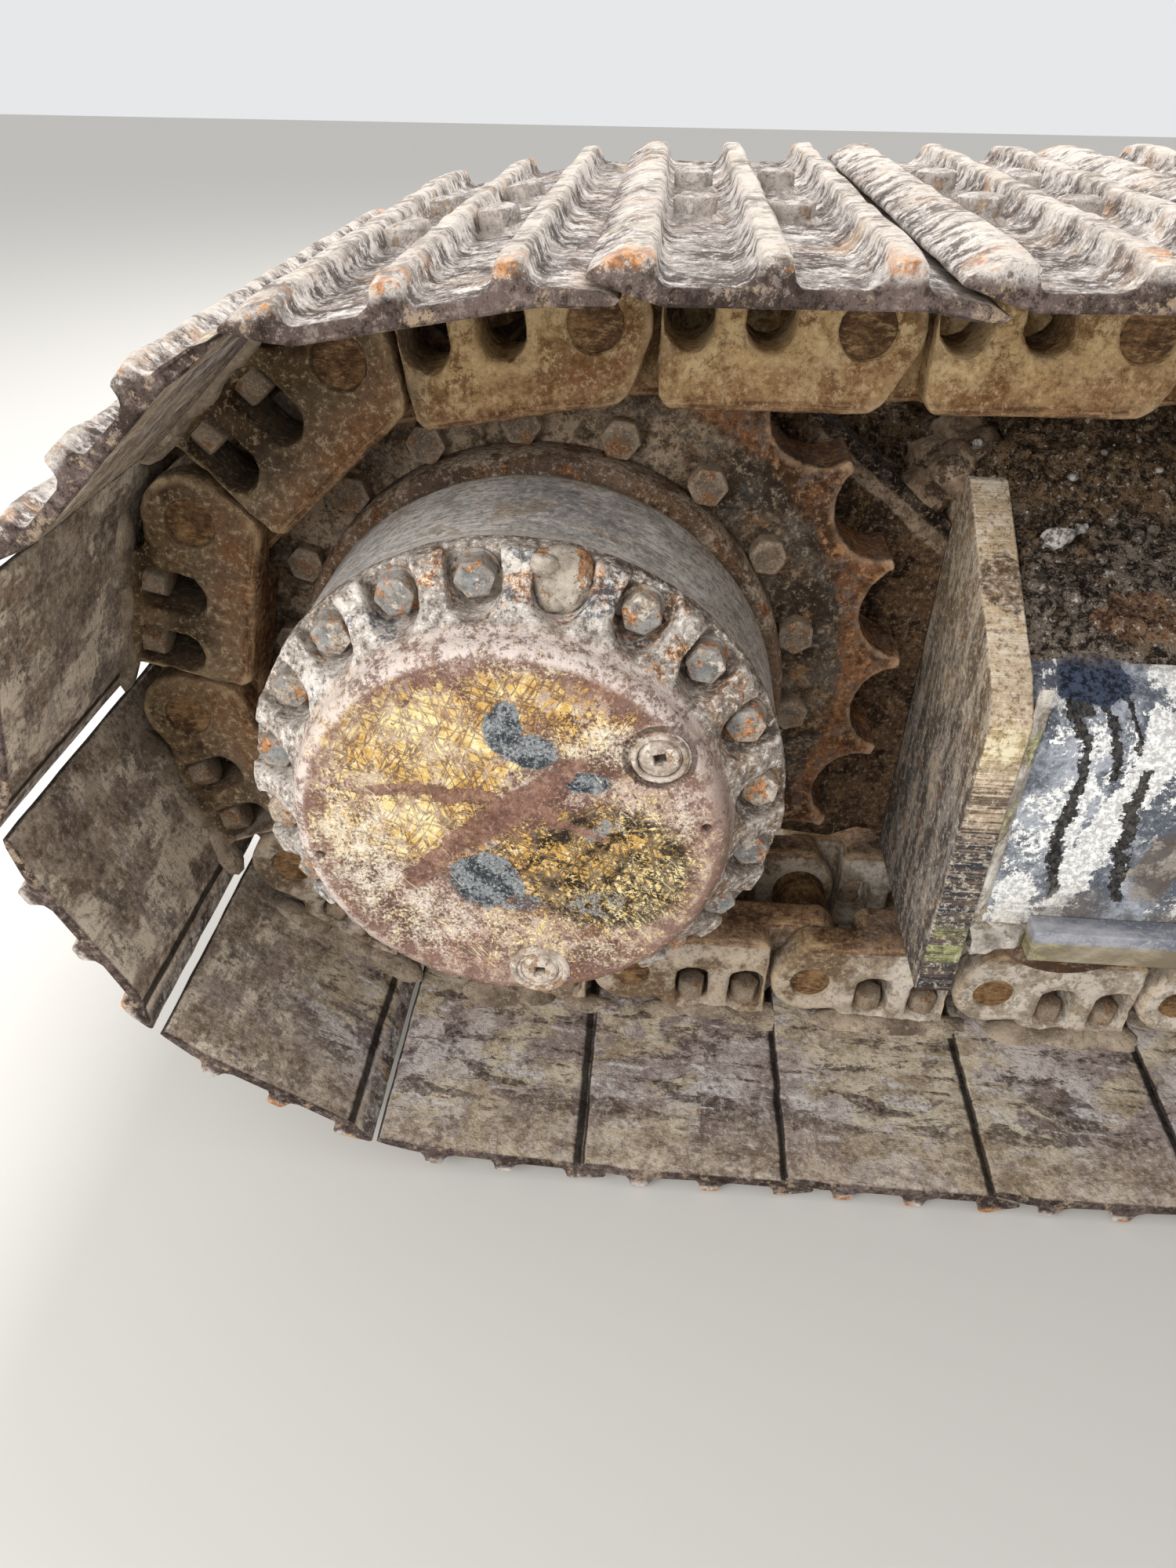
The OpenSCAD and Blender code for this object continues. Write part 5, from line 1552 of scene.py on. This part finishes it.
def makeMound():
    # soil heaped where the mount plate meets the end plate
    bm = bmesh.new()
    ball = ballMesh(4)
    for x, y, z, wide, deep, tall in soilLook["mound"]:
        addMesh(bm, ball, Matrix.Translation((x, y, z)) @ sized(wide, deep, tall))
    roughen(bm, 0.006, 0.030)
    roughen(bm, 0.002, 0.008)
    newPiece("mountMound", bm, layered("brownMud"))


def makeSoil():
    bank, clods, stones = bmesh.new(), bmesh.new(), bmesh.new()
    low, high = (frameLow.x - 0.0015, frameLow.y + 0.050), (frameHigh.x - 0.01, frameHigh.y - 0.004)
    spreadSoil(bank, clods, stones, frameSoil, low, high, 90, 300, 1.6, (soilLook["clods"], soilLook["stones"]))
    low, high = (driveAxis.x - 0.10, guardLow.y + 0.002), (guardHigh.x, guardHigh.y - 0.004)
    spreadSoil(
        bank, clods, stones, guardSoil, low, high, 50, 110, 1.0, (soilLook["guardClods"], soilLook["guardStones"])
    )
    low, high = (frameLow.x - 0.039, frameLow.y + 0.225), (frameLow.x + 0.01, frameHigh.y - 0.004)
    spreadSoil(
        bank, clods, stones, plateSoil, low, high, 40, 20, 1.0, (soilLook["plateClods"], soilLook["plateStones"])
    )
    for x, y, size in soilLook["bigStones"]:
        addStone(stones, x, y, size)
    bmesh.ops.solidify(bank, geom=bank.faces[:], thickness=0.006)
    # the slot between the mount plate and the cover over the motor is packed with soil
    lump = ballMesh(3)
    for i in range(soilLook["slotLumps"]):
        x = soilLook["slotStart"] + soilLook["slotStep"] * i
        place = Matrix.Translation((x, 0.058, guardTop(x) - 0.026 - 0.004 * (i % 3)))
        addMesh(clods, lump, place @ sized(0.022, 0.018, 0.026))
    roughen(clods, 0.0024, 0.012)
    roughen(stones, 0.0012, 0.012)
    newPiece("soilBank", bank, soilFinish())
    newPiece("soilClods", clods, bpy.data.materials["bankSoil"])
    newPiece("soilStones", stones, layered("paleStone"))


guardLow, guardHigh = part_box("motor_guard")
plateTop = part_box("end_plate")[1].z
makeSoil()
makeFillets()
makeMound()
makeWelds()
makeSmallBolts()
print("stage soil done")


studio = {
    "floor": "#cfccc6", "floorSize": 14, "world": 0.82, "worldTint": (0.97, 0.98, 1.0, 1),
    # name, energy, place, target, size
    "lamps": [
        ("keyLamp", 250.0, (-1.2, 2.4, 4.2), (-1.2, 0, 0.5), 2.4),
        ("fillLamp", 120.0, (-3.6, -3.0, 2.2), (-1.5, 0, 0.4), 2.6),
    ],
}


def makeStudio():
    bm = bmesh.new()
    bmesh.ops.create_grid(bm, x_segments=1, y_segments=1, size=studio["floorSize"])
    mesh = asMesh(bm, "studioFloor")
    floor = bpy.data.objects.new("studioFloor", mesh)
    scene.collection.objects.link(floor)
    f = Finish("studioFloor")
    f.shader.inputs["Base Color"].default_value = paint(studio["floor"])
    f.shader.inputs["Roughness"].default_value = 0.9
    mesh.materials.append(f.material)

    world = bpy.data.worlds.new("studioWorld")
    scene.world = world
    world.use_nodes = True
    back = world.node_tree.nodes["Background"]
    back.inputs["Color"].default_value = studio["worldTint"]
    back.inputs["Strength"].default_value = studio["world"]

    for name, energy, place, target, size in studio["lamps"]:
        light = bpy.data.lights.new(name, "AREA")
        light.energy = energy
        light.size = size
        lamp = bpy.data.objects.new(name, light)
        scene.collection.objects.link(lamp)
        lamp.location = place
        lamp.rotation_euler = (Vector(target) - Vector(place)).to_track_quat("-Z", "Y").to_euler()


view = {"place": (-1.75122, -1.0666, 1.0188), "yaw": -0.0652, "pitch": 0.6302, "roll": 0.0145, "lens": 23.95}


def makeCamera():
    data = bpy.data.cameras.new("photoCamera")
    data.sensor_width = 36.0
    data.lens = view["lens"]
    data.clip_start = 0.05
    camera = bpy.data.objects.new("photoCamera", data)
    scene.collection.objects.link(camera)
    camera.matrix_world = (
        Matrix.Translation(view["place"])
        @ Matrix.Rotation(-view["yaw"], 4, "Z")
        @ Matrix.Rotation(math.pi / 2 - view["pitch"], 4, "X")
        @ Matrix.Rotation(view["roll"], 4, "Z")
    )
    scene.camera = camera


makeStudio()
makeCamera()
for mesh in [m for m in bpy.data.meshes if m.name.startswith("template")]:
    bpy.data.meshes.remove(mesh)
scene.view_settings.view_transform = "Standard"
print("stage studio done")
